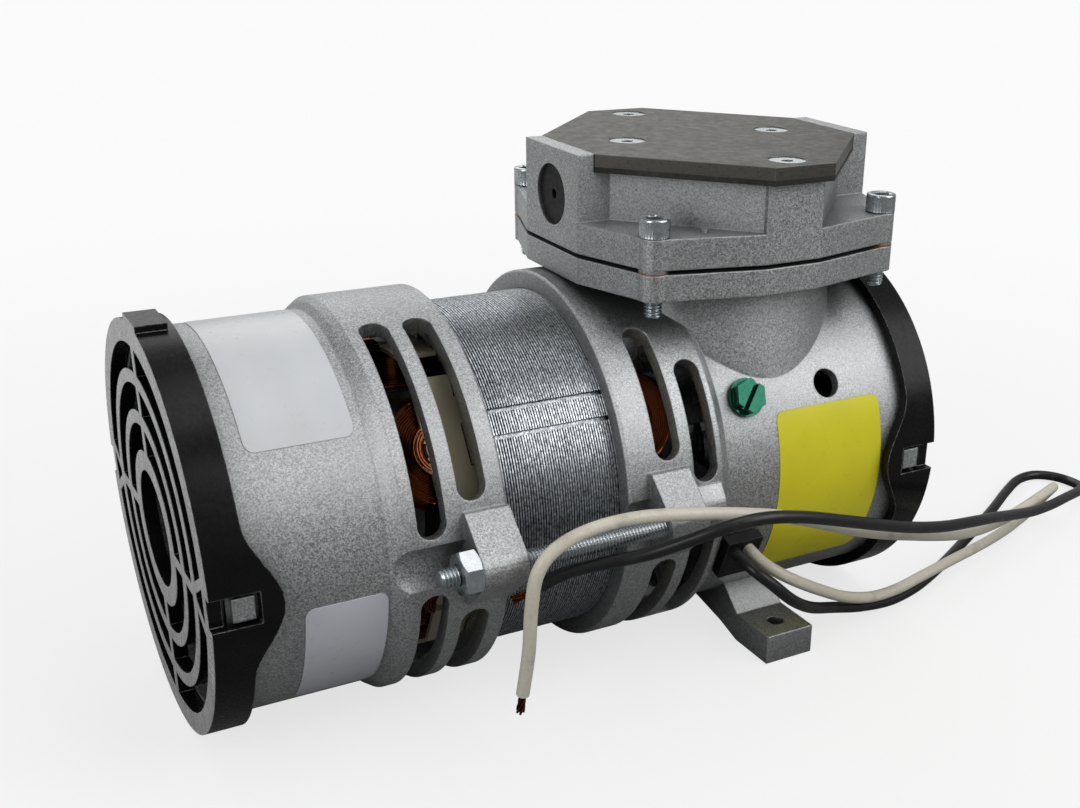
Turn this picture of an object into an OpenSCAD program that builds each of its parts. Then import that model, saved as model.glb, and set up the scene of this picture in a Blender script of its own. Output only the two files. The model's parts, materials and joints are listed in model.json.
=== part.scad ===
// Oil-free rocking-piston vacuum pump with an open-frame motor.
// The shaft runs along X, +Y points away from the side with the leads, +Z is up.
// The origin is under the middle of the pump's length, on the plane that the feet stand on.
// All lengths are in millimetres. The crank is drawn at bottom dead centre.

/* [Overall] */
// Length over both fan covers
overall_l = 177.4; // [176:0.2:182]
// Height of the shaft above the plane of the feet
shaft_h = 45; // [45:0.1:46]
// Radius of the fan covers
cover_r = 45; // [44.9:0.1:45]

/* [Castings] */
// Radius of the plain barrels at both ends
barrel_r = 42.25; // [42:0.05:42.4]
// Wall of the barrels
barrel_wall = 2.6; // [2.2:0.1:3]
// Radius of the slotted rings beside the stator
ring_r = 44.85; // [44.5:0.05:45]
// Distance from the motor end to the slotted ring
motor_ring_start = 38; // [37:0.5:39]
// Length of the motor-side slotted ring
motor_ring_l = 24; // [23.5:0.5:25]
// Length of the crankcase-side slotted ring
crank_ring_l = 25.8; // [25:0.2:27]
// Radius of the circle that the tie rods lie on
tie_rod_circle_r = 50; // [49.5:0.1:51]
// Radius of the tie rods and of the head screws
screw_r = 2.08; // [1.9:0.02:2.2]

/* [Vent slots] */
// Width of every vent slot
slot_w = 6.4; // [5:0.2:7]
// Distance from the ring's start to the first motor-side slot
motor_slot_1 = 7.25; // [7:0.25:8]
// Distance from the ring's start to the second motor-side slot
motor_slot_2 = 16.75; // [16:0.25:17]
// Distance from the ring's start to the first crankcase-side slot
crank_slot_1 = 10.7; // [10.5:0.1:11]
// Distance from the ring's start to the second crankcase-side slot
crank_slot_2 = 19.9; // [19.5:0.1:20.2]

/* [Motor] */
// Length of the lamination stack that shows between the castings
visible_stack_l = 28.7; // [28:0.1:30]
// Radius of the lamination stack
stack_r = 40.5; // [40.3:0.1:40.6]
// Depth that the stack sits in each casting
spigot_l = 2.3; // [2:0.1:3]
// Number of poles, each with its own coil
pole_count = 6; // [6]
// Angle of the first pole above the front
pole_angle = 33; // [30:1:36]
// Radius of the rotor core
rotor_r = 21.6; // [21:0.1:21.7]
// Radius of the shaft
shaft_r = 4; // [3.9:0.1:4]
// Radius over the fan blades
fan_r = 37.5; // [30:0.5:38]

/* [Crank] */
// Distance from the motor end to the cylinder's axis
head_start = 134.4; // [134:0.2:135]
// Throw of the crank, half the stroke
throw = 3.3; // [2.5:0.1:3.4]
// Radius of the cylinder bore
bore_r = 22; // [21.8:0.1:22.2]
// Clearance between the piston and the valve plate at top dead centre
top_clearance = 0.6; // [0.5:0.1:0.8]

/* [Head] */
// Height of the crankcase deck that carries the head
deck_h = 96.3; // [96:0.1:97]
// Thickness of the deck flange
deck_t = 5.9; // [5.5:0.1:6]
// Gap between the deck and the head, away from the corners
head_gap = 1; // [0.8:0.1:1.2]
// Thickness of the head's flange
head_flange_t = 6.8; // [6.5:0.1:7.5]
// Height of the head's body above its flange
head_body_h = 10.9; // [10.5:0.1:12]
// Thickness of the cover plate
cover_plate_t = 2.8; // [2:0.2:3.2]
// Thickness of the cover gasket
gasket_t = 1.2; // [0.8:0.1:1.4]
// Half of the square pitch of the head screws
head_pitch = 30.85; // [30.5:0.05:31]
// Reach of the port blocks from the cylinder's axis
port_reach = 40; // [40:0.1:41]
// Radius of the outlet port
port_r = 6.2; // [5:0.1:6.3]
// Radius of the intake port behind its filter
intake_r = 5.6; // [4.5:0.1:6]

/* [Feet] */
// Distance between the holes of the two feet
foot_pitch = 82; // [81.5:0.5:83]
// Width of each foot along the shaft
foot_w = 13.3; // [12:0.1:15]
// Thickness of the pad of each foot
foot_t = 7.3; // [7:0.1:8]
// Radius of the hole in each foot
foot_hole_r = 2.1; // [1.6:0.05:2.2]

/* [Hidden] */
$fn = 72;
// Overrun of every cut past the face it leaves
over = 1;
// Radial clearance of parts that are fixed in one another
fit = 0.02;
// Clearance of parts that slip over one another
slip = 0.1;

// Places along the shaft
motor_end_x = -overall_l / 2;
crank_end_x = overall_l / 2;
motor_ring_x = motor_end_x + motor_ring_start;
motor_face_x = motor_ring_x + motor_ring_l;
crank_face_x = motor_face_x + visible_stack_l;
crank_ring_end_x = crank_face_x + crank_ring_l;
stack_x0 = motor_face_x - spigot_l;
stack_x1 = crank_face_x + spigot_l;
stack_mid_x = (stack_x0 + stack_x1) / 2;
head_x = motor_end_x + head_start;

// Fan covers
grille_t = 3.2;
rim_in_r = 40.2;
grille_ring_w = 2.9;
grille_ring_rs = [33, 24.3];
grille_hub_r = 17;
grille_eye_r = 12.7;
spoke_w = 2.5;
fork_start_r = 34;
fork_spread = 6;
skirt_l = 8;
skirt_peak_l = 14.4;
skirt_peak_half_h = 17;
skirt_steps = 16;
snap_x0 = 2.8;
snap_x1 = 9.8;
snap_half_h = 3.4;
snap_notch_d = 2.4;
key_w = 11;
key_h = 1.1;
key_l = 6.5;
cover_slip = 0.06;
skirt_in_r = barrel_r + cover_slip;

// Castings
casting_gap = 0.4;
casting_inset = grille_t + casting_gap;
barrel_in_r = barrel_r - barrel_wall;
ring_in_r = 41.4;
shoulder_l = 3;
shoulder_mid_share = 0.6;
ring_edge = 0.5;
seat_lip_w = 1.3;
seat_lip_r = 39.4;
catch_x0 = 4.4;
catch_x1 = 8.8;
catch_half_h = 2.5;
catch_r = 44.1;
hub_r = 15;
hub_throat_r = 8;
hub_throat_l = 3.5;
spider_ribs = 6;
spider_step = 360 / spider_ribs;
spider_rib_w = 3.4;
spider_rib_l = 5;
spider_rib_inset = 0.8;
motor_hub_start = 19.5;
hub_l = 12.5;
hub_run = 0.6;
lug_root_half = 10.4;
lug_tip_r = 4.6;
lug_tip_steps = 8;
lug_edge = 4.2;
lug_reach = tie_rod_circle_r + lug_edge;
lug_root_r = 42.6;
motor_lug_l = 10;
crank_lug_start = 5.4;
crank_lug_l = 9.6;
crank_tail_l = 8.6;
crank_tail_half = 5.2;
crank_tail_reach = 47.6;
scoop_r = 7.2;
rod_hole_r = screw_r + slip;

// Vent slots: relief of the straight sides, and the ends as angles above the front
slot_relief = 0.06;
motor_slot_1_ends = [[7.8, 73], [-73, -8.6]];
motor_slot_2_ends = [[16, 72.8], [-72.8, -16.8]];
crank_slot_1_ends = [[15.9, 56.5], [-72, -15.6]];
crank_slot_2_ends = [[7.5, 43.8], [-58, -9]];

// Cylinder boss and deck
boss_base_r = 36;
boss_top_r = 30.9;
boss_base_h = 63;
sleeve_wall = 1.5;
sleeve_r = bore_r + sleeve_wall;
sleeve_l = 18.3;
sleeve_flange_r = 25.8;
sleeve_flange_t = 1.6;
corner_r = 3.4;
flange_tip_y = 39.4;
flange_tip_half = 7.5;
flange_corner_share = 0.9;
port_half_w = 12.7;

// Holes in the crankcase barrel
side_hole_angle = 29.6;
ground_screw_back = 9.2;
side_hole_ahead = 14.1;
side_hole_r = 3.5;
grommet_angle = -22.6;
grommet_edge = 0.2;
grommet_hole_w = 7.6;
grommet_hole_h = 9.6;

// Feet
foot_ahead = 0.6;
foot_x = head_x + foot_ahead;
foot_reach = 47.3;
foot_bend_y = 34;
foot_root_y = 27;
foot_root_h = 13.4;
foot_heel_y = 10;
foot_heel_h = 4.6;
foot_instep_y = 16;
foot_instep_h = 4;
foot_arch_y = 26.6;
foot_arch_h = 2.1;

// Stator, bobbins and coils
slot_bottom_r = 36.2;
stator_bore_r = 22;
tooth_half_w = 4.5;
shoe_r = 24;
shoe_gap_w = 5;
weld_groove_w = 0.9;
weld_groove_d = 0.5;
weld_groove_angles = [31.8, 40.2];
weld_groove_sets = 3;
bobbin_wall = 1;
bobbin_slip = 0.15;
bobbin_in_y = 24.4;
bobbin_out_y = 34.2;
bobbin_core_half = tooth_half_w + bobbin_slip + bobbin_wall;
bobbin_straight = 22.4;
bobbin_reach = 25.6;
bobbin_foot_half = 8.6;
bobbin_back_half = 10.6;
bobbin_wing_half = 15.6;
bobbin_notch_w = 2.4;
bobbin_notch_d = 3.2;
bobbin_notch_pitch = 3.3;
wire_r = 0.5;
wire_gap = 0.6;
coil_turns = 4;
coil_rings = 16;
coil_sides = 6;
coil_core_wall = 5.1;
coil_start_y = 25.6;
coil_half_w = bobbin_core_half + bobbin_slip + coil_core_wall + slip + wire_r;
protector_l = 7.6;
protector_w = 8;
protector_t = 3.6;
protector_pole = 2;

// Rotor and fans
rotor_ring_r = 20.4;
rotor_ring_in_r = 13;
rotor_ring_l = 7;
shaft_start = 5.6;
shaft_tail = 0.3;
fan_hub_r = 8.5;
fan_hub_l = 12;
fan_disc_t = 1.6;
fan_blades = 12;
fan_blade_w = 9.4;
fan_blade_t = 1.4;
fan_blade_in_r = 12;
fan_blade_lean = 22;
motor_fan_start = 6;
fan_room = 0.6;
crank_fan_x = head_x + sleeve_r + fan_room;

// Shaft bearings, 8 by 22 by 7
bearing_bore_r = 4;
bearing_out_r = 11;
bearing_w = 7;
bearing_pitch_r = 7.5;
bearing_ball_r = 1.95;
bearing_balls = 7;
race_share = 0.75;
ball_slip = 0.04;
cage_edge = 0.6;
cage_t = 1.2;
washer_t = 0.8;

// Rod bearing, 17 by 35 by 10
rod_bearing_bore_r = 8.5;
rod_bearing_out_r = 17.5;
rod_bearing_w = 10;
rod_bearing_pitch_r = 13;
rod_bearing_ball_r = 2.35;
rod_bearing_balls = 9;

// Eccentric
pin_l = 11;
pin_run = 0.4;
eccentric_l = 7.4;
eccentric_hub_r = 11.5;
counterweight_r = 29;
counterweight_half_angle = 65;
counterweight_l = 6;
set_screw_r = 2;
set_screw_l = 6;
set_screw_hex_r = 1.15;
set_screw_hex_l = 2.4;

// The crank's pieces in a row, from the rod's bearing back to the hub in the crankcase
rod_bearing_x = head_x - rod_bearing_w / 2;
eccentric_x = rod_bearing_x - pin_run - eccentric_l;
set_screw_x = eccentric_x + eccentric_l / 2;
crank_hub_x = eccentric_x - hub_run - hub_l;

// Rod and piston
pin_h = shaft_h - throw;
big_end_r = 21.3;
rod_shank_w = 15;
rod_shank_t = 8;
rod_web_t = 3.2;
rod_web_w = 9;
piston_gap = 0.35;
piston_r = bore_r - throw - piston_gap;
piston_base_t = 3.4;
cup_t = 0.8;
cup_lip_h = 2.2;
cup_gap = 0.03;
retainer_t = 2.4;
retainer_r = 16.4;
retainer_screw_r = 2.5;
retainer_head_r = 4.8;
retainer_head_t = 2.2;
retainer_screw_l = 9;
piston_top_h = deck_h - top_clearance - 2 * throw;
cup_h = piston_top_h - retainer_t - cup_t;

// Valve plate, reeds and seals
plate_r = 25.8;
plate_t = 4.4;
plate_top_h = deck_h + plate_t;
seal_ring_r = 23.9;
seal_wire_r = 0.8;
seal_squash = 0.25;
reed_x = 10;
reed_w = 8;
reed_l = 22;
reed_t = 0.3;
reed_hole_r = 2.1;
reed_clamp = 3;
reed_play = 0.3;
reed_recess_h = 1.5;
reed_recess_edge = 0.8;
valve_hole_r = 1.5;
valve_hole_ys = [12.5, 17];
keeper_t = 0.9;
keeper_lift = 8;
reed_screw_r = 1.2;
reed_screw_head_r = 2.3;
reed_screw_head_t = 0.8;
reed_screw_l = 3;
keeper_bush_r = 1.8;

// Head
head_bottom_h = deck_h + head_gap;
head_flange_h = head_bottom_h + head_flange_t;
head_top_h = head_flange_h + head_body_h;
cover_bottom_h = head_top_h + gasket_t;
cover_top_h = cover_bottom_h + cover_plate_t;
plate_room = 0.2;
chamber_floor_t = 2;
chamber_wall = 3;
divider_t = 3;
head_inset = 3;
cover_half_x = 35.7;
cover_half_y = 42;
cover_tip_x = 8;
cover_side_y = 13;
post_half_w = 7.5;
cover_screw_x = 20.3;
cover_screw_y = 35;
cover_post_r = 3.8;
cover_screw_r = 2.05;
cover_screw_head_r = 4.3;
cover_screw_head_t = 2.3;
cover_screw_l = 11;
cover_screw_sink = 0.25;
hex_key_r = 1.5;
hex_key_d = 1.4;
chamber_window_l = 25;
chamber_window_w = 10.4;
port_depth = 10.3;
port_seat_r = 6.9;
port_seat_l = 2.4;
port_rise = 4.1;
port_h = head_flange_h + port_rise;
disc_r = 6.75;
disc_t = 1.6;
disc_hole_r = 1.2;
dowel_x = -18.7;
dowel_y = -31.6;
dowel_r = 0.8;
dowel_h = 0.8;
shim_t = 0.3;

// Head screws and nuts
socket_r = 3.4;
socket_h = 4.2;
socket_hex_r = 2.1;
socket_hex_d = 2.2;
knurl_count = 24;
knurl_d = 0.22;
tail_l = 3.9;
nut_r = 5;
nut_t = 4.1;
rod_tail_l = 4;
rod_blind_l = 7;

// Ground screw, grommet and labels
ground_head_r = 4.5;
ground_head_t = 2.3;
ground_hex_r = 4.1;
ground_washer_t = 0.9;
ground_slot_w = 1.1;
ground_slot_d = 1.3;
ground_slot_turn = -40;
ground_screw_l = 7;
grommet_w = 9.6;
grommet_h = 11.6;
grommet_t = 2.7;
grommet_waist_l = 4;
grommet_x = crank_ring_end_x + shoulder_l / 2 + grommet_edge + grommet_w / 2;
label_t = 0.12;
label_gap = 0.02;
label_corner_r = 2;
barrel_label_start = 12.5;
barrel_label_l = 21.9;
barrel_label_ends = [39, 104];
lower_label_start = 18.7;
lower_label_l = 17.3;
lower_label_ends = [-50, -6];
side_label_edge = 0.4;
side_label_l = 30;
side_label_ends = [-38, 23.4];

// Leads
lead_r = 1.45;
lead_sides = 8;
strand_l = 5;
strand_r = 0.9;
white_route = [
    [35.5, -42.5, 30.5], [36, -47.5, 29], [39, -50.5, 26.5], [45.5, -51.5, 22.5], [54.5, -49, 17.5],
    [63.5, -45.5, 11.5], [75, -43, 7.5], [86, -40, 5.5], [98, -36, 5], [111, -33, 5],
    [123, -29, 4], [135.5, -24, 2.5], [147.5, -19, 1.5], [157, -15, 1.5], [161.5, -14.5, 3.5],
    [164, -15.5, 7], [163.5, -18.5, 10.5], [160, -21.5, 12.5], [150.5, -26, 13.5], [139, -29.5, 13],
    [127, -33, 13], [116, -37, 15], [104, -41.5, 18], [92, -46, 22.5], [80, -50, 27],
    [68, -53.5, 31.5], [56, -56, 36], [44, -58, 41.5], [33, -59, 46], [21.5, -59.5, 49],
    [8.5, -59, 51.5], [-4, -58.5, 53.5], [-14.5, -58.5, 53], [-23, -58.5, 50.5], [-27, -58.5, 46],
    [-28.5, -58, 38.5], [-28, -56.5, 26.5], [-29, -54.5, 16]
];
black_route = [
    [31.5, -42.5, 30.5], [32.5, -49.5, 28.5], [36, -52.5, 25.5], [42, -53.5, 19.5], [50.5, -49, 13.5],
    [61.5, -44, 9], [73, -41.5, 4.5], [85.5, -39, 2], [98.5, -35, 1.5], [111, -29, 1.5],
    [124.5, -22, 1.5], [138.5, -14.5, 1.5], [152, -7, 1.5], [164.5, 0.5, 1.5], [175, 6.5, 1.5],
    [182, 6.5, 1.5], [187, 3, 1.5], [189, -3, 1.5], [186.5, -9.5, 2.5], [179, -15, 5],
    [167, -21, 8], [153.5, -27.5, 10.5], [140.5, -33, 13.5], [127.5, -38, 17.5], [114, -44, 22],
    [101, -49.5, 26], [87.5, -53.5, 29], [74, -57.5, 33.5], [60.5, -61, 38.5], [47, -63.5, 43.5],
    [33.5, -65, 48], [23, -65.5, 50.5], [14.5, -64, 49], [7.5, -59.5, 46], [-0.5, -55.5, 42],
    [-7.5, -51, 40.5], [-16.5, -49, 39.5], [-22.5, -46.5, 35.5]
];

// Places children along the shaft, their Z axis on the shaft's axis
module on_shaft(x) {
    translate([x, 0, shaft_h]) rotate([0, 90, 0]) children();
}

// Places children on the crankpin's axis, at bottom dead centre
module on_pin(x) {
    translate([x, 0, pin_h]) rotate([0, 90, 0]) children();
}

// Turns children about the shaft, from the front (-Y) up by an angle
module around(angle) {
    translate([0, 0, shaft_h]) rotate([-angle, 0, 0]) children();
}

// Points children's Z axis outwards at a place on the barrel, from the shaft's axis
module outwards(x, angle) {
    around(angle) translate([x, 0, 0]) rotate([90, 0, 0]) children();
}

module both_sides() {
    children();
    mirror([0, 1, 0]) children();
}

module ring(r_out, r_in, l) {
    difference() {
        cylinder(h = l, r = r_out);
        translate([0, 0, -over]) cylinder(h = l + 2 * over, r = r_in);
    }
}

// A band round the shaft between two angles above the front
module band(x, w, ends, r_in, r_out) {
    on_shaft(x) rotate([0, 0, -90 - ends[1]])
        rotate_extrude(angle = ends[1] - ends[0])
            translate([r_in, -w / 2]) square([r_out - r_in, w]);
}

// A vent slot with round ends, a hair wider than its sides, cut right through a ring's wall
module vent_slot(x, ends) {
    r_in = ring_in_r - over;
    r_out = ring_r + over;
    end_turn = asin(slot_w / 2 / ring_r);
    band(x, slot_w - 2 * slot_relief, [ends[0] + end_turn, ends[1] - end_turn], r_in, r_out);
    for (angle = [ends[0] + end_turn, ends[1] - end_turn])
        outwards(x, angle) translate([0, 0, r_in]) cylinder(h = r_out - r_in, r = slot_w / 2);
}

module vent_slots(x, all_ends) {
    both_sides() for (ends = all_ends) vent_slot(x, ends);
}

// Fan covers, drawn with the grille at x = 0 and the skirt towards +X

function skirt_bulge(z) = skirt_l + (skirt_peak_l - skirt_l) * (1 + cos(180 * z / skirt_peak_half_h)) / 2;

module skirt_outline() {
    step = 2 * skirt_peak_half_h / skirt_steps;
    polygon(concat(
        [[over, skirt_peak_half_h], [over, -skirt_peak_half_h]],
        [for (i = [0:skirt_steps]) [skirt_bulge(-skirt_peak_half_h + i * step), -skirt_peak_half_h + i * step]]
    ));
}

module skirt() {
    on_shaft(0) ring(cover_r, skirt_in_r, skirt_l);
    both_sides() intersection() {
        on_shaft(0) ring(cover_r, skirt_in_r, skirt_peak_l);
        translate([0, 0, shaft_h]) rotate([90, 0, 0]) linear_extrude(cover_r + over) skirt_outline();
    }
}

module grille() {
    on_shaft(0) ring(cover_r, rim_in_r, grille_t);
    on_shaft(0) ring(grille_hub_r, grille_eye_r, grille_t);
    for (r = grille_ring_rs)
        on_shaft(0) ring(r + grille_ring_w / 2, r - grille_ring_w / 2, grille_t);
    spoke_l = rim_in_r - grille_hub_r + 2 * over;
    for (angle = [90, 270])
        around(angle) translate([0, -grille_hub_r + over - spoke_l, -spoke_w / 2])
            cube([grille_t, spoke_l, spoke_w]);
    both_sides() {
        translate([0, -fork_start_r, shaft_h - spoke_w / 2])
            cube([grille_t, fork_start_r - grille_hub_r + over, spoke_w]);
        for (side = [-1, 1])
            translate([0, 0, shaft_h]) rotate([90, 0, 90]) linear_extrude(grille_t)
                polygon([
                    [-fork_start_r + spoke_w, -side * spoke_w / 2],
                    [-fork_start_r + spoke_w, side * spoke_w / 2],
                    [-rim_in_r - over, side * (fork_spread + spoke_w / 2)],
                    [-rim_in_r - over, side * (fork_spread - spoke_w / 2)]
                ]);
    }
}

module fan_cover() {
    difference() {
        union() {
            grille();
            skirt();
        }
        translate([0, 0, shaft_h]) both_sides()
            translate([snap_x0, -cover_r - over, -snap_half_h])
                cube([snap_x1 - snap_x0, cover_r - skirt_in_r + 2 * over, 2 * snap_half_h]);
        translate([0, 0, shaft_h]) both_sides()
            translate([-over, -cover_r - over, -snap_half_h])
                cube([snap_x0 + 2 * over, snap_notch_d + over, 2 * snap_half_h]);
    }
}

module motor_fan_cover() {
    color("#17181a") translate([motor_end_x, 0, 0]) {
        fan_cover();
        translate([0, -key_w / 2, shaft_h + skirt_in_r])
            cube([key_l, key_w, cover_r - skirt_in_r + key_h]);
    }
}

module crankcase_fan_cover() {
    color("#17181a") translate([crank_end_x, 0, 0]) mirror([1, 0, 0]) fan_cover();
}

// Castings

module turned(profile) {
    on_shaft(0) rotate_extrude() polygon(profile);
}

// Outline of a slotted ring with its shoulder, turned towards +X or -X
function ring_profile(face_x, back_x, barrel_x, side) = [
    [0, barrel_x],
    [barrel_r, barrel_x],
    [barrel_r, back_x - side * shoulder_l / 2],
    [barrel_r + (ring_r - barrel_r) * shoulder_mid_share, back_x],
    [ring_r, back_x + side * shoulder_l / 2],
    [ring_r, face_x - side * ring_edge],
    [ring_r - ring_edge, face_x],
    [0, face_x]
];

// Bore behind a ring: the stack's seat, a lip, and the room for the end turns
function bore_profile(face_x, back_x, end_x, side) = [
    [0, face_x + side * over],
    [stack_r + fit, face_x + side * over],
    [stack_r + fit, face_x - side * spigot_l],
    [seat_lip_r, face_x - side * spigot_l],
    [seat_lip_r, face_x - side * (spigot_l + seat_lip_w)],
    [ring_in_r, face_x - side * (spigot_l + seat_lip_w)],
    [ring_in_r, back_x + side * shoulder_l / 2],
    [barrel_in_r, back_x - side * shoulder_l / 2],
    [barrel_in_r, end_x - side * over],
    [0, end_x - side * over]
];

// A bearing housing that faces +X, held by ribs that start at rib_x
module bearing_hub(x, rib_x, angles) {
    difference() {
        union() {
            on_shaft(x) cylinder(h = hub_l, r = hub_r);
            for (angle = angles)
                around(angle)
                    translate([rib_x, -barrel_in_r - over / 2, -spider_rib_w / 2])
                        cube([spider_rib_l, barrel_in_r + over / 2 - bearing_out_r - over, spider_rib_w]);
        }
        on_shaft(x - over) cylinder(h = hub_l + 2 * over, r = hub_throat_r);
        on_shaft(x + hub_throat_l) cylinder(h = hub_l - hub_throat_l + over, r = bearing_out_r + fit);
    }
}

// The ribs' angles above the front: the crankcase has none where its cylinder opens
motor_rib_angles = [for (i = [0:spider_ribs - 1]) (i + 0.5) * spider_step];
crank_rib_angles = [for (i = [0, 3, 4, 5]) i * spider_step];

// Round tip of a lug, from one side's tangent to the other's
function lug_tip(root_half, reach) =
    let (
        centre = reach - lug_tip_r,
        root = [centre - ring_r, root_half],
        turn = 180 - atan2(root[1], root[0]) - acos(lug_tip_r / norm(root))
    ) [
        for (i = [0:lug_tip_steps])
            let (angle = turn - 2 * turn * i / lug_tip_steps)
                [-centre - lug_tip_r * cos(angle), lug_tip_r * sin(angle)]
    ];

module lug(x, l, root_half, reach) {
    translate([x, 0, shaft_h]) rotate([90, 0, 90]) linear_extrude(l)
        polygon(concat(
            [[-lug_root_r, root_half], [-ring_r, root_half]],
            lug_tip(root_half, reach),
            [[-ring_r, -root_half], [-lug_root_r, -root_half]]
        ));
}

module tie_rod_cut(x, l, r) {
    translate([x, -tie_rod_circle_r, shaft_h]) rotate([0, 90, 0]) cylinder(h = l, r = r);
}

module snap_catch(x0, x1) {
    translate([x0, -catch_r, shaft_h - catch_half_h])
        cube([x1 - x0, catch_r - barrel_r + over, 2 * catch_half_h]);
}

module motor_end_casting() {
    start_x = motor_end_x + casting_inset;
    lug_x = motor_face_x - motor_lug_l;
    hub_x = motor_end_x + motor_hub_start;
    color("#a9abab") {
        difference() {
            union() {
                turned(ring_profile(motor_face_x, motor_ring_x, start_x, 1));
                both_sides() {
                    lug(lug_x, motor_lug_l, lug_root_half, lug_reach);
                    snap_catch(motor_end_x + catch_x0, motor_end_x + catch_x1);
                }
            }
            turned(bore_profile(motor_face_x, motor_ring_x, start_x, 1));
            both_sides() {
                tie_rod_cut(lug_x - over, motor_lug_l + 2 * over, rod_hole_r);
                tie_rod_cut(motor_ring_x - shoulder_l, lug_x - motor_ring_x + shoulder_l, scoop_r);
            }
            vent_slots(motor_ring_x + motor_slot_1, motor_slot_1_ends);
            vent_slots(motor_ring_x + motor_slot_2, motor_slot_2_ends);
        }
        bearing_hub(hub_x, hub_x + spider_rib_inset, motor_rib_angles);
    }
}

// Outline of the deck and of the head's flange: flat-sided, with a round boss at each screw
module flange_outline() {
    corner = head_pitch + corner_r * flange_corner_share;
    for (sx = [-1, 1])
        for (sy = [-1, 1])
            translate([sx * head_pitch, sy * head_pitch]) circle(r = corner_r);
    polygon(mirrored_points([
        [port_reach, port_half_w], [corner, head_pitch], [head_pitch, corner], [flange_tip_half, flange_tip_y]
    ]));
}

module at_head_screws(h) {
    for (sx = [-1, 1])
        for (sy = [-1, 1])
            translate([head_x + sx * head_pitch, sy * head_pitch, h]) children();
}

module foot() {
    translate([foot_x - foot_w / 2, 0, 0]) rotate([90, 0, 90]) linear_extrude(foot_w)
        polygon([
            [-foot_reach, 0], [-foot_reach, foot_t], [-foot_bend_y, foot_t],
            [-foot_root_y, foot_root_h], [-foot_heel_y, foot_heel_h], [-foot_instep_y, foot_instep_h],
            [-foot_arch_y, foot_arch_h], [-foot_bend_y, 0]
        ]);
}

module crankcase_casting() {
    end_x = crank_end_x - casting_inset;
    lug_x = crank_face_x + crank_lug_start;
    color("#a9abab") {
        difference() {
            union() {
                turned(ring_profile(crank_face_x, crank_ring_end_x, end_x, -1));
                translate([head_x, 0, boss_base_h])
                    cylinder(h = deck_h - deck_t - boss_base_h + over / 2, r1 = boss_base_r, r2 = boss_top_r);
                translate([head_x, 0, deck_h - deck_t]) linear_extrude(deck_t) flange_outline();
                both_sides() {
                    lug(lug_x, crank_lug_l, lug_root_half, lug_reach);
                    lug(lug_x + crank_lug_l - over, crank_tail_l + over, crank_tail_half, crank_tail_reach);
                    snap_catch(crank_end_x - catch_x1, crank_end_x - catch_x0);
                    foot();
                }
            }
            turned(bore_profile(crank_face_x, crank_ring_end_x, end_x, -1));
            translate([head_x, 0, shaft_h]) cylinder(h = deck_h - shaft_h + over, r = sleeve_r + fit);
            translate([head_x, 0, deck_h - sleeve_flange_t])
                cylinder(h = sleeve_flange_t + over, r = sleeve_flange_r + fit);
            at_head_screws(deck_h - deck_t - over) cylinder(h = deck_t + 2 * over, r = screw_r + fit);
            both_sides() {
                tie_rod_cut(crank_face_x - over, crank_lug_start + over, scoop_r);
                tie_rod_cut(lug_x - over, rod_blind_l + 2 * over, screw_r + fit);
                translate([foot_x, -foot_pitch / 2, -over]) cylinder(h = foot_t + 2 * over, r = foot_hole_r);
            }
            vent_slots(crank_face_x + crank_slot_1, crank_slot_1_ends);
            vent_slots(crank_face_x + crank_slot_2, crank_slot_2_ends);
            outwards(head_x - ground_screw_back, side_hole_angle)
                translate([0, 0, barrel_in_r - over]) cylinder(h = barrel_wall + 2 * over, r = screw_r + fit);
            outwards(head_x + side_hole_ahead, side_hole_angle)
                translate([0, 0, barrel_in_r - over]) cylinder(h = barrel_wall + 2 * over, r = side_hole_r);
            outwards(grommet_x, grommet_angle)
                translate([-grommet_hole_w / 2, -grommet_hole_h / 2, barrel_in_r - over])
                    cube([grommet_hole_w, grommet_hole_h, barrel_wall + 2 * over]);
        }
        bearing_hub(crank_hub_x, crank_hub_x + hub_l - spider_rib_l - spider_rib_inset, crank_rib_angles);
    }
}

// Motor

module stack_outline() {
    difference() {
        union() {
            difference() {
                circle(r = stack_r);
                circle(r = slot_bottom_r);
            }
            difference() {
                circle(r = shoe_r);
                circle(r = stator_bore_r);
                for (i = [0:pole_count - 1])
                    rotate(pole_angle + (i + 0.5) * 360 / pole_count)
                        translate([0, -shoe_gap_w / 2]) square([shoe_r + over, shoe_gap_w]);
            }
            for (i = [0:pole_count - 1])
                rotate(pole_angle + i * 360 / pole_count)
                    translate([stator_bore_r + over, -tooth_half_w])
                        square([slot_bottom_r - stator_bore_r, 2 * tooth_half_w]);
        }
        for (i = [0:weld_groove_sets - 1])
            for (angle = weld_groove_angles)
                rotate(angle + i * 360 / weld_groove_sets)
                    translate([stack_r - weld_groove_d, -weld_groove_w / 2])
                        square([weld_groove_d + over, weld_groove_w]);
    }
}

// The 2D X axis becomes the front (-Y) and the 2D Y axis becomes +Z
module stack_section(x0, l) {
    translate([x0, 0, shaft_h]) rotate([0, 0, 180]) rotate([90, 0, 90]) translate([0, 0, -l])
        linear_extrude(l) children();
}

module stator_stack() {
    color("#5c5f61") stack_section(stack_x0, stack_x1 - stack_x0) stack_outline();
}

module stadium(half_l, r) {
    square([2 * half_l, 2 * r], center = true);
    for (side = [-1, 1]) translate([side * half_l, 0]) circle(r = r);
}

// Children drawn flat in the plane that faces a pole: X along the shaft, Y round it, Z outwards
module at_pole(i, h) {
    outwards(stack_mid_x, pole_angle + i * 360 / pole_count) translate([0, 0, h]) children();
}

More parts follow.
